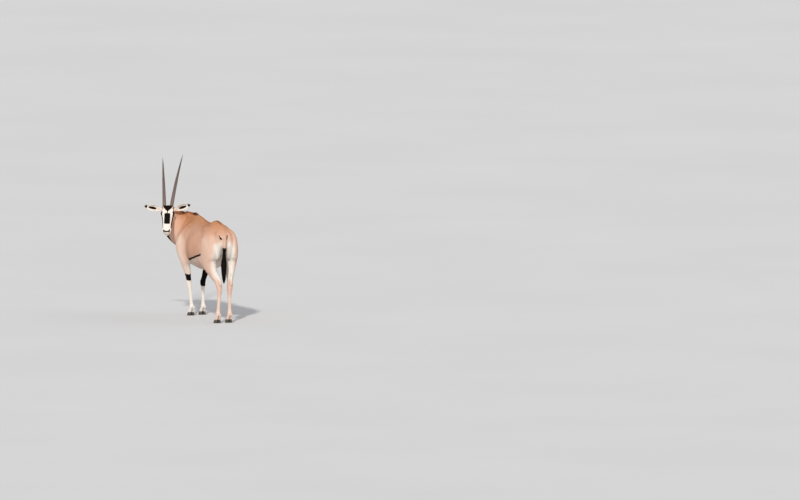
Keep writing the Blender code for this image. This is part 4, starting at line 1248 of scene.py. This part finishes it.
REGION_ROUNDS, LIE_ROUNDS, THROAT_ROUNDS, LINE_ROUNDS = 40, 20, 3, 2
black = union(black, smoothed(throat_line_and_shadow, THROAT_ROUNDS))
warm, pale = smoothed(warm, REGION_ROUNDS), smoothed(pale, REGION_ROUNDS)
brown_lines = union(smoothed(brown_crest, LINE_ROUNDS), smoothed(brown_spine, LINE_ROUNDS))
warm = np.clip(union(warm, brown_lines), 0.0, 1.0)
lies = np.stack([smoothed(lies[:, i], LIE_ROUNDS) for i in range(3)], 1)
store(skin.data, "markings", "FLOAT_COLOR", "color", np.stack([black, white, warm, pale], 1))
store(skin.data, "lie", "FLOAT_VECTOR", "vector", lies)
store(skin.data, "sheet", "FLOAT_VECTOR", "vector", np.concatenate([sheets, np.zeros((len(sheets), 1))], 1))
print("masks stored, smoothed over", REGION_ROUNDS, "rounds")

# %% [markdown]
# Skin, coat and mane all need the same few colours mixed by the same four masks, so that mix is one group
# of nodes. Inside it, noise shifts the masks of white and black before they are cut sharp, which frays the
# border of a stripe as hair does, and a broader noise varies the ground colour. It puts out a colour and a
# value.

# %% Group that mixes the markings
FAWN, PALE_FAWN = (0.675, 0.402, 0.280, 1.0), (0.800, 0.600, 0.495, 1.0)
WARM_FAWN, CHESTNUT = (0.560, 0.265, 0.130, 1.0), (0.130, 0.058, 0.034, 1.0)
CREAM, BLACK_HAIR = (0.825, 0.760, 0.690, 1.0), (0.006, 0.003, 0.003, 1.0)
WHITE_STEP, BLACK_STEP = (0.15, 0.85), (0.38, 0.62)      # where in a mask its colour sets in


def mix_colour(tree, factor, first, second, blend="MIX"):
    """A mix of two colours; returns the output socket."""
    inputs = {0: factor, 6: first, 7: second}
    return node(tree, "ShaderNodeMix", inputs, data_type="RGBA", blend_type=blend).outputs[2]


def math_node(tree, operation, first, second=0.0):
    return node(tree, "ShaderNodeMath", {0: first, 1: second}, operation=operation).outputs[0]


def centred(tree, value, strength):
    """Noise moved to lie about 0, times a strength."""
    return math_node(tree, "MULTIPLY", math_node(tree, "SUBTRACT", value, 0.5), strength)


markings_group = new_group(
    "marked_hair", "ShaderNodeTree",
    [("Masks", "NodeSocketColor", None), ("Pale", "NodeSocketFloat", 0.0),
     ("Place", "NodeSocketVector", None), ("Fray", "NodeSocketFloat", 0.35),
     ("Mottle", "NodeSocketFloat", 0.25), ("Grain Scale", "NodeSocketFloat", 260.0)],
    [("Colour", "NodeSocketColor"), ("Grain", "NodeSocketFloat")])
tree = markings_group
start, end = node(tree, "NodeGroupInput"), node(tree, "NodeGroupOutput")
masks = node(tree, "ShaderNodeSeparateColor", {"Color": start.outputs["Masks"]}).outputs
fine = noise(tree, start.outputs["Place"], start.outputs["Grain Scale"], 2.0)
coarse = noise(tree, start.outputs["Place"], 7.0, 4.0)
shift = centred(tree, fine, start.outputs["Fray"])
# The first half of the warm mask goes from fawn to warm fawn, and the second half on to chestnut
twice_warm = math_node(tree, "MULTIPLY", masks["Blue"], 2.0)
chestnut_share = math_node(tree, "MAXIMUM", math_node(tree, "SUBTRACT", twice_warm, 1.0), 0.0)
ground_tone = mix_colour(tree, math_node(tree, "MINIMUM", twice_warm, 1.0), FAWN, WARM_FAWN)
ground_tone = mix_colour(tree, start.outputs["Pale"], ground_tone, PALE_FAWN)
ground_tone = mix_colour(tree, chestnut_share, ground_tone, CHESTNUT)
light = math_node(tree, "ADD", 1.0, centred(tree, coarse, start.outputs["Mottle"]))
light = math_node(tree, "ADD", light, math_node(tree, "MULTIPLY", shift, 0.35))
light = node(tree, "ShaderNodeCombineXYZ", {0: light, 1: light, 2: light}).outputs[0]
marked = mix_colour(tree, 1.0, ground_tone, light, "MULTIPLY")
for mask, step, colour in (("Green", WHITE_STEP, CREAM), ("Red", BLACK_STEP, BLACK_HAIR)):
    share = remap(tree, math_node(tree, "ADD", masks[mask], shift), step, curve="SMOOTHSTEP")
    marked = mix_colour(tree, share, marked, colour)
tree.links.new(marked, end.inputs["Colour"])
tree.links.new(fine, end.inputs["Grain"])
print("markings group has", len(tree.nodes), "nodes")

# %% [markdown]
# The skin's own finish is close, flat hair. It could be plain, since tufts hide most of it, but it shows on
# the face and the lower legs. Streaks long along the lie and narrow across it are noise read on the
# unwrapped sheet, and they feed a Bump node. A little sheen stands for the light that stray hairs catch.

# %% Skin and coat finishes
HAIR_ROUGHNESS, HAIR_STREAKS = (0.58, 0.78), (1400.0, 130.0, 1.0)


def stretched(tree, vector, scale):
    return node(tree, "ShaderNodeMapping", {"Vector": vector, "Scale": scale}).outputs[0]


def bumped(tree, height, strength, distance=0.001):
    """A normal that shows a height as relief."""
    inputs = {"Height": height, "Strength": strength, "Distance": distance}
    return node(tree, "ShaderNodeBump", inputs).outputs[0]


def hair_material(name, streaks, fray=0.30, mottle=0.22, grain_scale=300.0):
    """Hair coloured by the masks on its mesh. With streaks, a bump shows the flat hairs of the skin."""
    material, tree, out = new_material(name)
    masks = node(tree, "ShaderNodeAttribute", attribute_name="markings").outputs
    inputs = {"Masks": masks["Color"], "Pale": masks["Alpha"], "Place": object_place(tree),
              "Fray": fray, "Mottle": mottle, "Grain Scale": grain_scale}
    marked = node(tree, "ShaderNodeGroup", inputs, node_tree=markings_group)
    rough = remap(tree, marked.outputs["Grain"], to_range=HAIR_ROUGHNESS)
    finish = {"Base Color": marked.outputs["Colour"], "Roughness": rough, "Specular IOR Level": 0.06,
              "Sheen Weight": 0.01, "Sheen Roughness": 0.5}
    if streaks:
        sheet = node(tree, "ShaderNodeAttribute", attribute_name="sheet").outputs["Vector"]
        hairs = noise(tree, stretched(tree, sheet, HAIR_STREAKS), 1.0, 3.0, Roughness=0.6)
        finish["Normal"] = bumped(tree, hairs, 0.35, 0.0015)
    surface(tree, out, finish)
    return material


skin_finish = hair_material("hide_of_short_hair", True)
coat_finish = hair_material("coat_tufts", False)
skin.data.materials.clear()
skin.data.materials.append(skin_finish)
print("finishes:", skin_finish.name, coat_finish.name)

# %% [markdown]
# The horns are almost straight rods with raised rings up to a little past half way, and smooth sharp tips.
# A lathe would make the rings too even, so each ring's height varies a little and its line tilts.

# %% Horns
SEED = 7
HORN_LENGTHS, HORN_CURLS = {1.0: 0.855, -1.0: 0.805}, {1.0: 0.026, -1.0: 0.004}
HORN_SPLAYS = {1.0: math.radians(3.6), -1.0: math.radians(4.6)}
HORN_BEND, HORN_BOW, HORN_SUNK = math.radians(9.0), 0.030, 0.020
# horn: share of its length, radius
HORN = ((0.0, 0.0225), (0.10, 0.0215), (0.30, 0.0190), (0.50, 0.0160),
        (0.70, 0.0118), (0.88, 0.0068), (1.0, 0.0012))
HORN_INSIDE = 0.0006                     # the rings rise from a rod this much thinner
HORN_DEEP, HORN_ACROSS = 1.05, 0.94      # a section is a little deeper than it is wide
HORN_RINGS, HORN_RINGED_SHARE, HORN_RING_RISE, HORN_RING_START = 26, 0.60, 0.0016, 0.012
HORN_STATIONS, HORN_SIDES = 300, 28


def horn_mesh(mirror, rng):
    """A horn, and the share of its length at which each of its rings of points lies."""
    length = HORN_LENGTHS[mirror]
    splay = HORN_SPLAYS[mirror]
    straight = head_way(math.sin(splay) * mirror, -math.sin(HORN_BEND), -math.cos(HORN_BEND))
    back, side = head_way(0.0, -1.0, 0.35), head_way(1.0, 0.0, 0.0)
    across = square_to(side, straight)
    deep = straight.cross(across)
    bow = back * HORN_BOW + side * (HORN_CURLS[mirror] * mirror)
    heights = [rng.uniform(0.75, 1.1) for _ in range(HORN_RINGS)]
    tilts = [rng.uniform(-0.25, 0.25) for _ in range(HORN_RINGS)]
    shares = [-HORN_SUNK / length] + [i / HORN_STATIONS for i in range(HORN_STATIONS + 1)]
    rings = []
    for place in shares:
        up = max(place, 0.0)
        centre = horn_base(mirror) + straight * (length * place) + bow * up ** 2
        rod = np.interp(up, *zip(*HORN)) - HORN_INSIDE
        at = min(0.999, max(0.0, (place - HORN_RING_START) / HORN_RINGED_SHARE)) * HORN_RINGS
        which = min(int(at), HORN_RINGS - 1)
        fade = min(1.0, max(0.0, (HORN_RINGED_SHARE - place) / 0.10)) if place > 0 else 0.0
        ring = []
        for i in range(HORN_SIDES):
            turn = 2 * math.pi * i / HORN_SIDES
            phase = min(1.0, max(0.0, at - which + tilts[which] * 0.5 * math.sin(turn)))
            radius = rod + HORN_RING_RISE * math.sin(math.pi * phase) ** 1.5 * heights[which] * fade
            over = across * (HORN_ACROSS * math.cos(turn)) + deep * (HORN_DEEP * math.sin(turn))
            ring.append(centre + over * radius)
        rings.append(ring)
    mesh = bmesh.new()
    loft(rings, mesh)
    return mesh, shares


print("horn of", HORN_RINGS, "rings")

# %% Horn finish
def horn_material():
    """Grey-brown horn: darker up the horn, with fine lines along it and pale worn patches."""
    material, tree, out = new_material("ringed_horn")
    share = node(tree, "ShaderNodeAttribute", attribute_name="up_the_horn").outputs["Fac"]
    grain = noise(tree, object_place(tree), 120.0, 5.0)
    worn = remap(tree, noise(tree, object_place(tree), 22.0, 3.0), (0.52, 0.72), (0.0, 0.4))
    tone = mix_colour(tree, share, (0.205, 0.138, 0.118, 1.0), (0.030, 0.018, 0.020, 1.0))
    tone = mix_colour(tree, math_node(tree, "MULTIPLY", grain, 0.45), tone, (0.070, 0.045, 0.042, 1.0))
    tone = mix_colour(tree, worn, tone, (0.25, 0.18, 0.15, 1.0))
    surface(tree, out, {"Base Color": tone, "Roughness": remap(tree, grain, to_range=(0.35, 0.62)),
                        "Normal": bumped(tree, grain, 0.25), "Specular IOR Level": 0.5})
    return material


print("horn finish is ready")

# %% Grow the horns
def settle(piece, slot, *nodes):
    """Moves a finished piece's mesh into the solids' frame and ties it to the frame."""
    piece.data.transform(Matrix.Translation(BODY_SHIFT))
    piece.data.update()
    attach(piece, "root")
    if nodes:
        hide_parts(*nodes)


horn_finish = horn_material()
rng = random.Random(SEED)
for side, mirror in SIDES.items():
    mesh, shares = horn_mesh(mirror, rng)
    horn = from_bmesh("ringed_horn_" + side, mesh, horn_finish)
    up_the_horn = np.repeat(np.clip(np.array(shares), 0.0, 1.0), HORN_SIDES)
    store(horn.data, "up_the_horn", "FLOAT", "value", up_the_horn)
    horn.data.shade_smooth()
    settle(horn, "horn", "horn_" + side)
    print(horn.name, len(horn.data.polygons), "faces")

# %% [markdown]
# Each foot ends in two hooves. A hoof is a blunt wedge, higher at the toe, with a flat sole, and it grows
# in faint rings. It could be carved from a block, but four stations lofted on each other give the same
# wedge with fewer steps. The wall draws in slightly under the hair line, which the hair of the pastern
# hangs over.

# %% Hooves
HOOF_SIDES, HOOF_STEPS = 32, 12
HOOF_MIDDLE_WIDTH = 0.0172
# hoof: height, middle fore and aft, half length, half width
HOOF_ROWS = (
    (SOLE_TOP, -0.022, 0.0295, 0.0170),
    (0.026, -0.029, 0.0385, 0.0184),
    (0.012, -0.036, 0.0452, 0.0195),
    (0.0, -0.042, 0.0505, 0.0203),
)


def hoof_mesh(leg, spread):
    """One hoof: its rings narrow towards the toe, and the toe bends a little towards its pair."""
    foot_x, foot_y = foot_of(leg)
    outer = 1.0 if spread > 0 else -1.0
    rings = []
    for k, (height, middle, half_length, half_width) in enumerate(between(HOOF_ROWS, HOOF_STEPS)):
        swell = 0.0003 * math.sin(k * 1.9) - 0.0008 * math.exp(-((height - SOLE_TOP) / 0.004) ** 2)
        middle_x = foot_x + spread + outer * (half_width - HOOF_MIDDLE_WIDTH) * 0.9
        ring = []
        for i in range(HOOF_SIDES):
            turn = 2 * math.pi * i / HOOF_SIDES
            front = max(0.0, -math.sin(turn))
            width = (half_width + swell) * (1 - 0.42 * front ** 2)
            x = middle_x + width * math.cos(turn) - 0.10 * half_width * front * outer
            y = foot_y + middle + (half_length + swell) * math.sin(turn)
            ring.append(Vector((x, y, max(height, 0.0))))
        rings.append(ring)
    mesh = bmesh.new()
    loft(rings, mesh)
    return mesh


print("a hoof has", HOOF_SIDES, "sides")

# %% Hoof finish and the eight hooves
def hoof_material():
    """Dark horn with growth lines that lie level, and dust in patches."""
    material, tree, out = new_material("dark_hoof")
    growth = noise(tree, stretched(tree, object_place(tree), (40.0, 40.0, 700.0)), 1.0, 3.0)
    dust = noise(tree, object_place(tree), 90.0, 4.0)
    tone = mix_colour(tree, growth, (0.030, 0.024, 0.022, 1.0), (0.095, 0.075, 0.062, 1.0))
    tone = mix_colour(tree, remap(tree, dust, (0.50, 0.75), (0.0, 0.5)), tone, (0.30, 0.23, 0.17, 1.0))
    surface(tree, out, {"Base Color": tone, "Roughness": remap(tree, dust, to_range=(0.38, 0.70)),
                        "Normal": bumped(tree, growth, 0.3)})
    return material


hoof_finish = hoof_material()
for leg in LEGS:
    mirror = LEGS[leg][1]
    for word, spread in (("outer", TOE_SPREAD * mirror), ("inner", -TOE_SPREAD * mirror)):
        stem = leg.replace("leg_", "hoof_") + "_" + word
        hoof = from_bmesh("horny_" + stem, hoof_mesh(leg, spread), hoof_finish)
        hoof.data.shade_smooth()
        hoof.data.set_sharp_from_angle(angle=math.radians(50))
        settle(hoof, "hoof", stem)
        print(hoof.name, len(hoof.data.polygons), "faces")

# %% [markdown]
# The eyes are dark, wet and set at the side of the head. The pupil is a level slot, as in all antelopes,
# and hardly darker than the iris. A pupil could be cut as its own piece, but two masks on the ball,
# measured from the middle of the gaze, place slot and iris without a seam.

# %% Eyes
PUPIL_LENGTH, PUPIL_HEIGHT, IRIS_RADIUS = 0.34, 0.15, 0.66      # as shares of the ball's radius
BEHIND = 2.0                                                    # well outside both masks


def eye_material():
    """A dark iris with a darker slot and rim, under a thin wet coat."""
    material, tree, out = new_material("wet_eye")
    gaze = node(tree, "ShaderNodeAttribute", attribute_name="gaze").outputs["Vector"]
    parts = node(tree, "ShaderNodeSeparateXYZ", {"Vector": gaze}).outputs
    fleck = noise(tree, object_place(tree), 900.0, 3.0)
    tone = mix_colour(tree, fleck, (0.012, 0.006, 0.004, 1.0), (0.034, 0.015, 0.008, 1.0))
    tone = mix_colour(tree, remap(tree, parts["X"], (1.05, 0.85)), tone, (0.003, 0.003, 0.004, 1.0))
    tone = mix_colour(tree, remap(tree, parts["Y"], (0.93, 1.05)), tone, (0.012, 0.007, 0.006, 1.0))
    surface(tree, out, {"Base Color": tone, "Roughness": 0.10, "Coat Weight": 0.15,
                        "Coat Roughness": 0.03, "Specular IOR Level": 0.20})
    return material


eye_finish = eye_material()
for side, mirror in SIDES.items():
    eye = one_ball("wet_eye_" + side, eye_centre(mirror), (EYE_RADIUS - 0.0001,) * 3, segments=40, rings=28)
    off = (points_of(eye.data) - np.array(eye_centre(mirror))) / EYE_RADIUS
    ahead, aside, above = (off @ np.array(way) for way in eye_axes(mirror))
    slot = np.where(ahead < 0, BEHIND, np.hypot(aside / PUPIL_LENGTH, above / PUPIL_HEIGHT))
    iris = np.where(ahead < 0, BEHIND, np.hypot(aside, above) / IRIS_RADIUS)
    store(eye.data, "gaze", "FLOAT_VECTOR", "vector", np.stack([slot, iris, 0 * iris], 1))
    eye.data.materials.append(eye_finish)
    eye.data.shade_smooth()
    settle(eye, "eye", "eye_" + side)
    print(eye.name, len(eye.data.polygons), "faces")

# %% [markdown]
# Hair cannot be left as a flat texture where it breaks the outline. Real strands are far too many, so a
# tuft of hairs is one small blade: flat, tapered, three-sided and bent, with ten faces. A Geometry Nodes
# tree scatters blades on the skin by a density mask, turns each to the skin's normal and the lie stored
# there, and varies length, lift and turn. The same tree, with other inputs, makes the coat, the face's
# down, the ear fringe and the mane.

# %% One blade of hair
BLADE_ROWS = ((0.0, -0.06, 0.75, 0.05), (0.42, 0.035, 1.0, 0.045))     # along, height, width, thickness
BLADE_TIP = (0.0, 1.0, 0.015)


def pointed(mesh, rings, tip):
    """A closed strand over rings of a bmesh's own points, from its flat root to its tip."""
    end = mesh.verts.new(tip)
    mesh.faces.new(rings[0])
    wall(mesh, rings)
    for i in range(3):
        mesh.faces.new((rings[-1][i], rings[-1][(i + 1) % 3], end))


def blade_mesh():
    """A blade one unit long and one wide that points along +Y and bends in Z."""
    mesh = bmesh.new()
    rings = []
    for along, height, width, thick in BLADE_ROWS:
        corners = ((-width / 2, along, height), (width / 2, along, height), (0.0, along, height + thick))
        rings.append([mesh.verts.new(p) for p in corners])
    pointed(mesh, rings, BLADE_TIP)
    bmesh.ops.recalc_face_normals(mesh, faces=mesh.faces)
    data = bpy.data.meshes.new("blade")
    mesh.to_mesh(data)
    mesh.free()
    x, y, _ = points_of(data).T
    store(data, "patch", "FLOAT_VECTOR", "vector", np.stack([x + 0.5, y, 0 * x], 1))
    return data


blade = link_object("blade", blade_mesh())
print("a blade has", len(blade.data.polygons), "faces")

# %% The tree that plants tufts on the skin
PATCH_SIZE = 0.003                                                # a tuft's own patch on the unwrapped sheet
LENGTH_SPREAD, WIDTH_SPREAD = (0.70, 1.25), (0.75, 1.25)
# Added to the seed, so that each kind of draw runs by itself
LIFT_DRAW, TURN_DRAW, LENGTH_DRAW, WIDTH_DRAW = 11.0, 12.0, 13.0, 14.0
tuft_tree = new_group(
    "hair_tufts", "GeometryNodeTree",
    [("Geometry", "NodeSocketGeometry", None), ("Blade", "NodeSocketObject", None),
     ("Mask Name", "NodeSocketString", "trunk_hair"), ("Density", "NodeSocketFloat", 8000.0),
     ("Length", "NodeSocketFloat", 0.016), ("Width", "NodeSocketFloat", 0.0032),
     ("Lift", "NodeSocketFloat", 0.10), ("Lift Spread", "NodeSocketFloat", 0.08),
     ("Turn Spread", "NodeSocketFloat", 0.22),
     ("Seed", "NodeSocketInt", SEED), ("Finish", "NodeSocketMaterial", None)],
    [("Geometry", "NodeSocketGeometry")])
tree = tuft_tree
given, end = node(tree, "NodeGroupInput").outputs, node(tree, "NodeGroupOutput")


def put(made, name, value):
    """Links or sets the one socket of a name that a node's own settings leave in use."""
    socket = next(s for s in made.inputs if s.enabled and s.name == name)
    if isinstance(value, bpy.types.NodeSocket):
        tree.links.new(value, socket)
    else:
        socket.default_value = value


def named(kind, name):
    """An attribute that is stored on the skin or on the blade."""
    made = node(tree, "GeometryNodeInputNamedAttribute", data_type=kind)
    put(made, "Name", name)
    return next(socket for socket in made.outputs if socket.enabled and socket.name == "Attribute")


def drawn(low, high, draw):
    """A random value for each tuft, between two sockets or numbers."""
    made = node(tree, "FunctionNodeRandomValue", {"Seed": math_node(tree, "ADD", given["Seed"], draw)})
    put(made, "Min", low)
    put(made, "Max", high)
    return next(socket for socket in made.outputs if socket.enabled)


def either_way(reach, draw):
    """A random value that goes as far below zero as above it."""
    return drawn(math_node(tree, "MULTIPLY", reach, -1.0), reach, draw)


print("tuft tree has", len(tuft_tree.interface.items_tree), "sockets")

# %% The steps of the tuft tree
density = math_node(tree, "MULTIPLY", given["Density"], named("FLOAT", given["Mask Name"]))
scatter = node(tree, "GeometryNodeDistributePointsOnFaces",
               {"Mesh": given["Geometry"], "Seed": given["Seed"], "Density": density}).outputs
along = node(tree, "FunctionNodeAxesToRotation", {0: scatter["Normal"], 1: named("FLOAT_VECTOR", "lie")},
             primary_axis="Z", secondary_axis="Y")
lift = math_node(tree, "ADD", given["Lift"], either_way(given["Lift Spread"], LIFT_DRAW))
turn = node(tree, "ShaderNodeCombineXYZ", {0: lift, 2: either_way(given["Turn Spread"], TURN_DRAW)})
bend = node(tree, "FunctionNodeEulerToRotation", {0: turn.outputs[0]})
turned = node(tree, "FunctionNodeRotateRotation", {0: along.outputs[0], 1: bend.outputs[0]},
              rotation_space="LOCAL")
length = math_node(tree, "MULTIPLY", given["Length"], drawn(*LENGTH_SPREAD, LENGTH_DRAW))
length = math_node(tree, "MULTIPLY", length, named("FLOAT", "fur"))
width = math_node(tree, "MULTIPLY", given["Width"], drawn(*WIDTH_SPREAD, WIDTH_DRAW))
size = node(tree, "ShaderNodeCombineXYZ", {0: width, 1: length, 2: length})
blade_in = node(tree, "GeometryNodeObjectInfo", {"Object": given["Blade"]})
planted = node(tree, "GeometryNodeInstanceOnPoints", {
    "Points": scatter["Points"], "Instance": blade_in.outputs["Geometry"],
    "Rotation": turned.outputs[0], "Scale": size.outputs[0]})
real = node(tree, "GeometryNodeRealizeInstances", {0: planted.outputs[0]})
patch = node(tree, "ShaderNodeVectorMath", {0: named("FLOAT_VECTOR", "patch"), "Scale": PATCH_SIZE},
             operation="SCALE")
spot = node(tree, "ShaderNodeVectorMath", {0: named("FLOAT_VECTOR", "sheet"), 1: patch.outputs[0]},
            operation="ADD")
mapped = node(tree, "GeometryNodeStoreNamedAttribute", {"Geometry": real.outputs[0], "Name": "OFBake"},
              data_type="FLOAT2", domain="CORNER")
put(mapped, "Value", spot.outputs[0])
dressed = node(tree, "GeometryNodeSetMaterial", {"Geometry": mapped.outputs[0], "Material": given["Finish"]})
tree.links.new(dressed.outputs[0], end.inputs["Geometry"])
print("tuft tree has", len(tree.nodes), "nodes")

# %% Where each kind of hair grows
def clear_of(centre, reach, blur):
    """0 within reach of a centre, and 1 beyond a soft border."""
    return ramp(np.linalg.norm(places - np.array(centre), axis=1), reach, reach + blur)


legs_all = is_in(*LEGS)
head_hair = on_head
for mirror in BOTH:
    off_eye = clear_of(eye_centre(mirror), 0.0235, 0.0025)
    head_hair = head_hair * off_eye * clear_of(nostril_centre(mirror), 0.013, 0.003)
rim_hair = np.zeros(len(places))
for region, mirror in EARS.items():
    root, out, opens, across = (np.array(v) for v in ear_frame(mirror))
    rim = band(normals @ opens, -0.45, 0.75, 0.10) * ramp((places - root) @ out, 0.02, 0.05)
    rim_hair = union(rim_hair, is_in(region) * rim)
mane_hair = edge(0.016 - np.abs(neck_across), 0.004) * ramp(neck_up, 0.80, 0.90)
mane_hair *= trunk * ramp(neck_share, 0.06, 0.24) * ramp(0.92 - neck_share, 0.0, 0.08)
# Length of the fur: shorter down the face and on the lower legs, and the mane rises and falls along its ridge
fur = 1.0 - 0.35 * on_head * ramp(along_face, 0.15, 0.30) - 0.35 * legs_all * ramp(0.45 - z, 0.0, 0.15)
mane_wave = 0.28 * band(neck_share, 0.24, 0.42, 0.06) - 0.5 * ramp(0.24 - neck_share, 0.0, 0.10)
fur *= 1.0 + mane_hair * mane_wave
HAIR_MASKS = {
    "trunk_hair": np.clip(trunk + is_in("tail") * (z > 0.86), 0.0, 1.0),
    "leg_hair": legs_all * ramp(z, SOLE_TOP + 0.002, SOLE_TOP + 0.006),
    "head_hair": head_hair,
    "ear_hair": ears_all,
    "rim_hair": rim_hair,
    "mane_hair": mane_hair,
    "fur": fur,
}
for name, values in HAIR_MASKS.items():
    store(skin.data, name, "FLOAT", "value", values)
print("hair masks stored:", ", ".join(HAIR_MASKS))

# %% Plant the coat
FULL = 1.0      # share of the tufts that a trial run plants
# piece: mask, tufts in a square metre, length, width, lift, spreads of lift and turn, seed
COATS = (
    ("coat_trunk_1", "trunk_hair", 9300, 0.0180, 0.0027, 0.030, 0.020, 0.14, 1),
    ("coat_trunk_2", "trunk_hair", 9300, 0.0170, 0.0026, 0.034, 0.022, 0.16, 2),
    ("coat_trunk_3", "trunk_hair", 9300, 0.0160, 0.0025, 0.038, 0.024, 0.18, 8),
    ("coat_trunk_4", "trunk_hair", 9300, 0.0150, 0.0024, 0.042, 0.028, 0.20, 9),
    ("coat_legs", "leg_hair", 20000, 0.0120, 0.0028, 0.035, 0.030, 0.18, 3),
    ("coat_head", "head_hair", 80000, 0.0070, 0.0016, 0.045, 0.035, 0.16, 4),
    ("coat_ears", "ear_hair", 60000, 0.0080, 0.0016, 0.040, 0.04, 0.18, 5),
    ("ear_fringe", "rim_hair", 60000, 0.0130, 0.0013, 0.160, 0.12, 0.40, 6),
    ("mane", "mane_hair", 110000, 0.0340, 0.0028, 0.500, 0.16, 0.26, 7),
)


def plant(name, mask, density, length, width, lift, lift_spread, turn_spread, seed):
    """Runs the tuft tree on the skin and keeps its result as a plain mesh."""
    carrier = bpy.data.objects.new(name + "_carrier", skin.data)
    bpy.context.scene.collection.objects.link(carrier)
    step = carrier.modifiers.new("Tufts", "NODES")
    step.node_group = tuft_tree
    values = {"Blade": blade, "Mask Name": mask, "Density": density * FULL, "Length": length, "Width": width,
              "Lift": lift, "Lift Spread": lift_spread, "Turn Spread": turn_spread, "Seed": seed,
              "Finish": coat_finish}
    for item in tuft_tree.interface.items_tree:
        if item.in_out == "INPUT" and item.name in values:
            step[item.identifier] = values[item.name]
    graph = bpy.context.evaluated_depsgraph_get()
    graph.update()
    mesh = bpy.data.meshes.new_from_object(carrier.evaluated_get(graph))
    bpy.data.objects.remove(carrier)
    mesh.name = name
    for spent in ("lie", "patch", "sheet", *HAIR_MASKS):
        if spent in mesh.attributes:
            mesh.attributes.remove(mesh.attributes[spent])
    settle(link_object(name, mesh), "hide")
    print(name, len(mesh.polygons), "faces, UV", [layer.name for layer in mesh.uv_layers])


for row in COATS:
    plant(*row)
bpy.data.objects.remove(blade)

# %% [markdown]
# The tail's long hair hangs from the lower half of the dock and falls to a point. Each strand is a narrow
# blade of its own length, laid on the tassel's outline: close at the dock, widest above the middle and
# drawn in at the tip. A tree of nodes could scatter them too, but a loop lays them here, because each must
# follow the same middle line that the dock was lofted on.

# %% Tassel
TASSEL_STRANDS, TASSEL_STEPS, TASSEL_RADIUS, TAIL_TIP_HEIGHT = 900, 9, 0.035, 0.462
TASSEL_LEVELS = (0.90, 0.68)        # where the long hair starts and where it stands out most
STRAND_STARTS, STRAND_ENDS = (0.20, 0.8), (0.135, 1.6)     # how far roots and tips scatter, and how unevenly
STRAND_WIDTHS, STRAND_THICKNESS, STRAND_SWAY = (0.0025, 0.0045), 0.0012, 0.004
ROOT_LEVELS, ROOT_REACHES = (0.72, 0.86), (0.006, 0.014)   # how far out a strand starts along the dock
GOLDEN_TURN = 2.39996               # spreads strands evenly round the tail


def tassel_radius(z):
    """How far the long hair stands out from the tail's middle at a height."""
    start, widest = TASSEL_LEVELS
    if z > widest:
        return TASSEL_RADIUS * (0.42 + 0.58 * max(0.0, (start - z) / (start - widest)))
    share = max(0.0, (z - TAIL_TIP_HEIGHT) / (widest - TAIL_TIP_HEIGHT))
    return TASSEL_RADIUS * (0.12 + 0.88 * math.sqrt(share))


def tail_middle(z):
    return Vector((along_rows(TAIL_DOCK, z, 0), along_rows(TAIL_DOCK, z, 1), z))


def add_strand(mesh, points, side_hint, width):
    """A three-sided tapered strand through points, added to a bmesh."""
    rings = []
    for i, point in enumerate(points[:-1]):
        share = i / (len(points) - 1)
        ahead = way_at(points, i)
        side = square_to(side_hint, ahead)
        half = side * (width * (0.6 + 0.8 * share if share < 0.5 else 1.9 * (1.0 - share) + 0.05) / 2)
        corners = (point - half, point + half, point + side.cross(ahead) * STRAND_THICKNESS)
        rings.append([mesh.verts.new(p) for p in corners])
    pointed(mesh, rings, points[-1])


print("strands of", TASSEL_STEPS, "steps")

# %% Lay the tassel's strands
def tassel_mesh():
    rng = random.Random(SEED)
    mesh = bmesh.new()
    for i in range(TASSEL_STRANDS):
        turn = i * GOLDEN_TURN
        out = Vector((math.cos(turn), math.sin(turn), 0.0))
        top = TASSEL_LEVELS[0] - STRAND_STARTS[0] * rng.random() ** STRAND_STARTS[1]
        low = TAIL_TIP_HEIGHT + STRAND_ENDS[0] * rng.random() ** STRAND_ENDS[1]
        spread_out = rng.uniform(0.25, 1.0)
        sway = rng.uniform(-STRAND_SWAY, STRAND_SWAY)
        points = []
        for step in range(TASSEL_STEPS):
            height = top + (low - top) * step / (TASSEL_STEPS - 1)
            share = min(1.0, step / 2.5)
            reach = np.interp(height, ROOT_LEVELS, ROOT_REACHES) * (1 - share)
            reach += tassel_radius(height) * spread_out * share
            wave = sway * math.sin(step * 1.3 + turn)
            points.append(tail_middle(height) + out * reach + Vector((wave, wave * 0.6, 0.0)))
        add_strand(mesh, points, Vector((-out.y, out.x, 0.0)), rng.uniform(*STRAND_WIDTHS))
    return mesh


def tassel_material():
    """Near-black hair with streaks that run down its length."""
    material, tree, out = new_material("long_black_hair")
    strands = noise(tree, stretched(tree, object_place(tree), (500.0, 500.0, 12.0)), 1.0, 3.0)
    tone = mix_colour(tree, strands, (0.003, 0.0015, 0.001, 1.0), (0.014, 0.007, 0.005, 1.0))
    surface(tree, out, {"Base Color": tone, "Roughness": remap(tree, strands, to_range=(0.50, 0.70)),
                        "Normal": bumped(tree, strands, 0.3), "Specular IOR Level": 0.08})
    return material


tassel = from_bmesh("tail_tassel", tassel_mesh(), tassel_material())
settle(tassel, "tail_hair")
print("tassel:", len(tassel.data.polygons), "faces")

# %% [markdown]
# The skin comes to the solids' frame last, because every tuft was planted while it stood in the body's own
# frame. It replaces the plain solids of trunk, neck, head, ears, tail and legs.

# %% Tie the skin to the frame
settle(skin, "hide", "torso", "neck", "head", "tail", "ear_left", "ear_right", *LEGS)
print("skin tied:", len(skin.data.polygons), "faces")
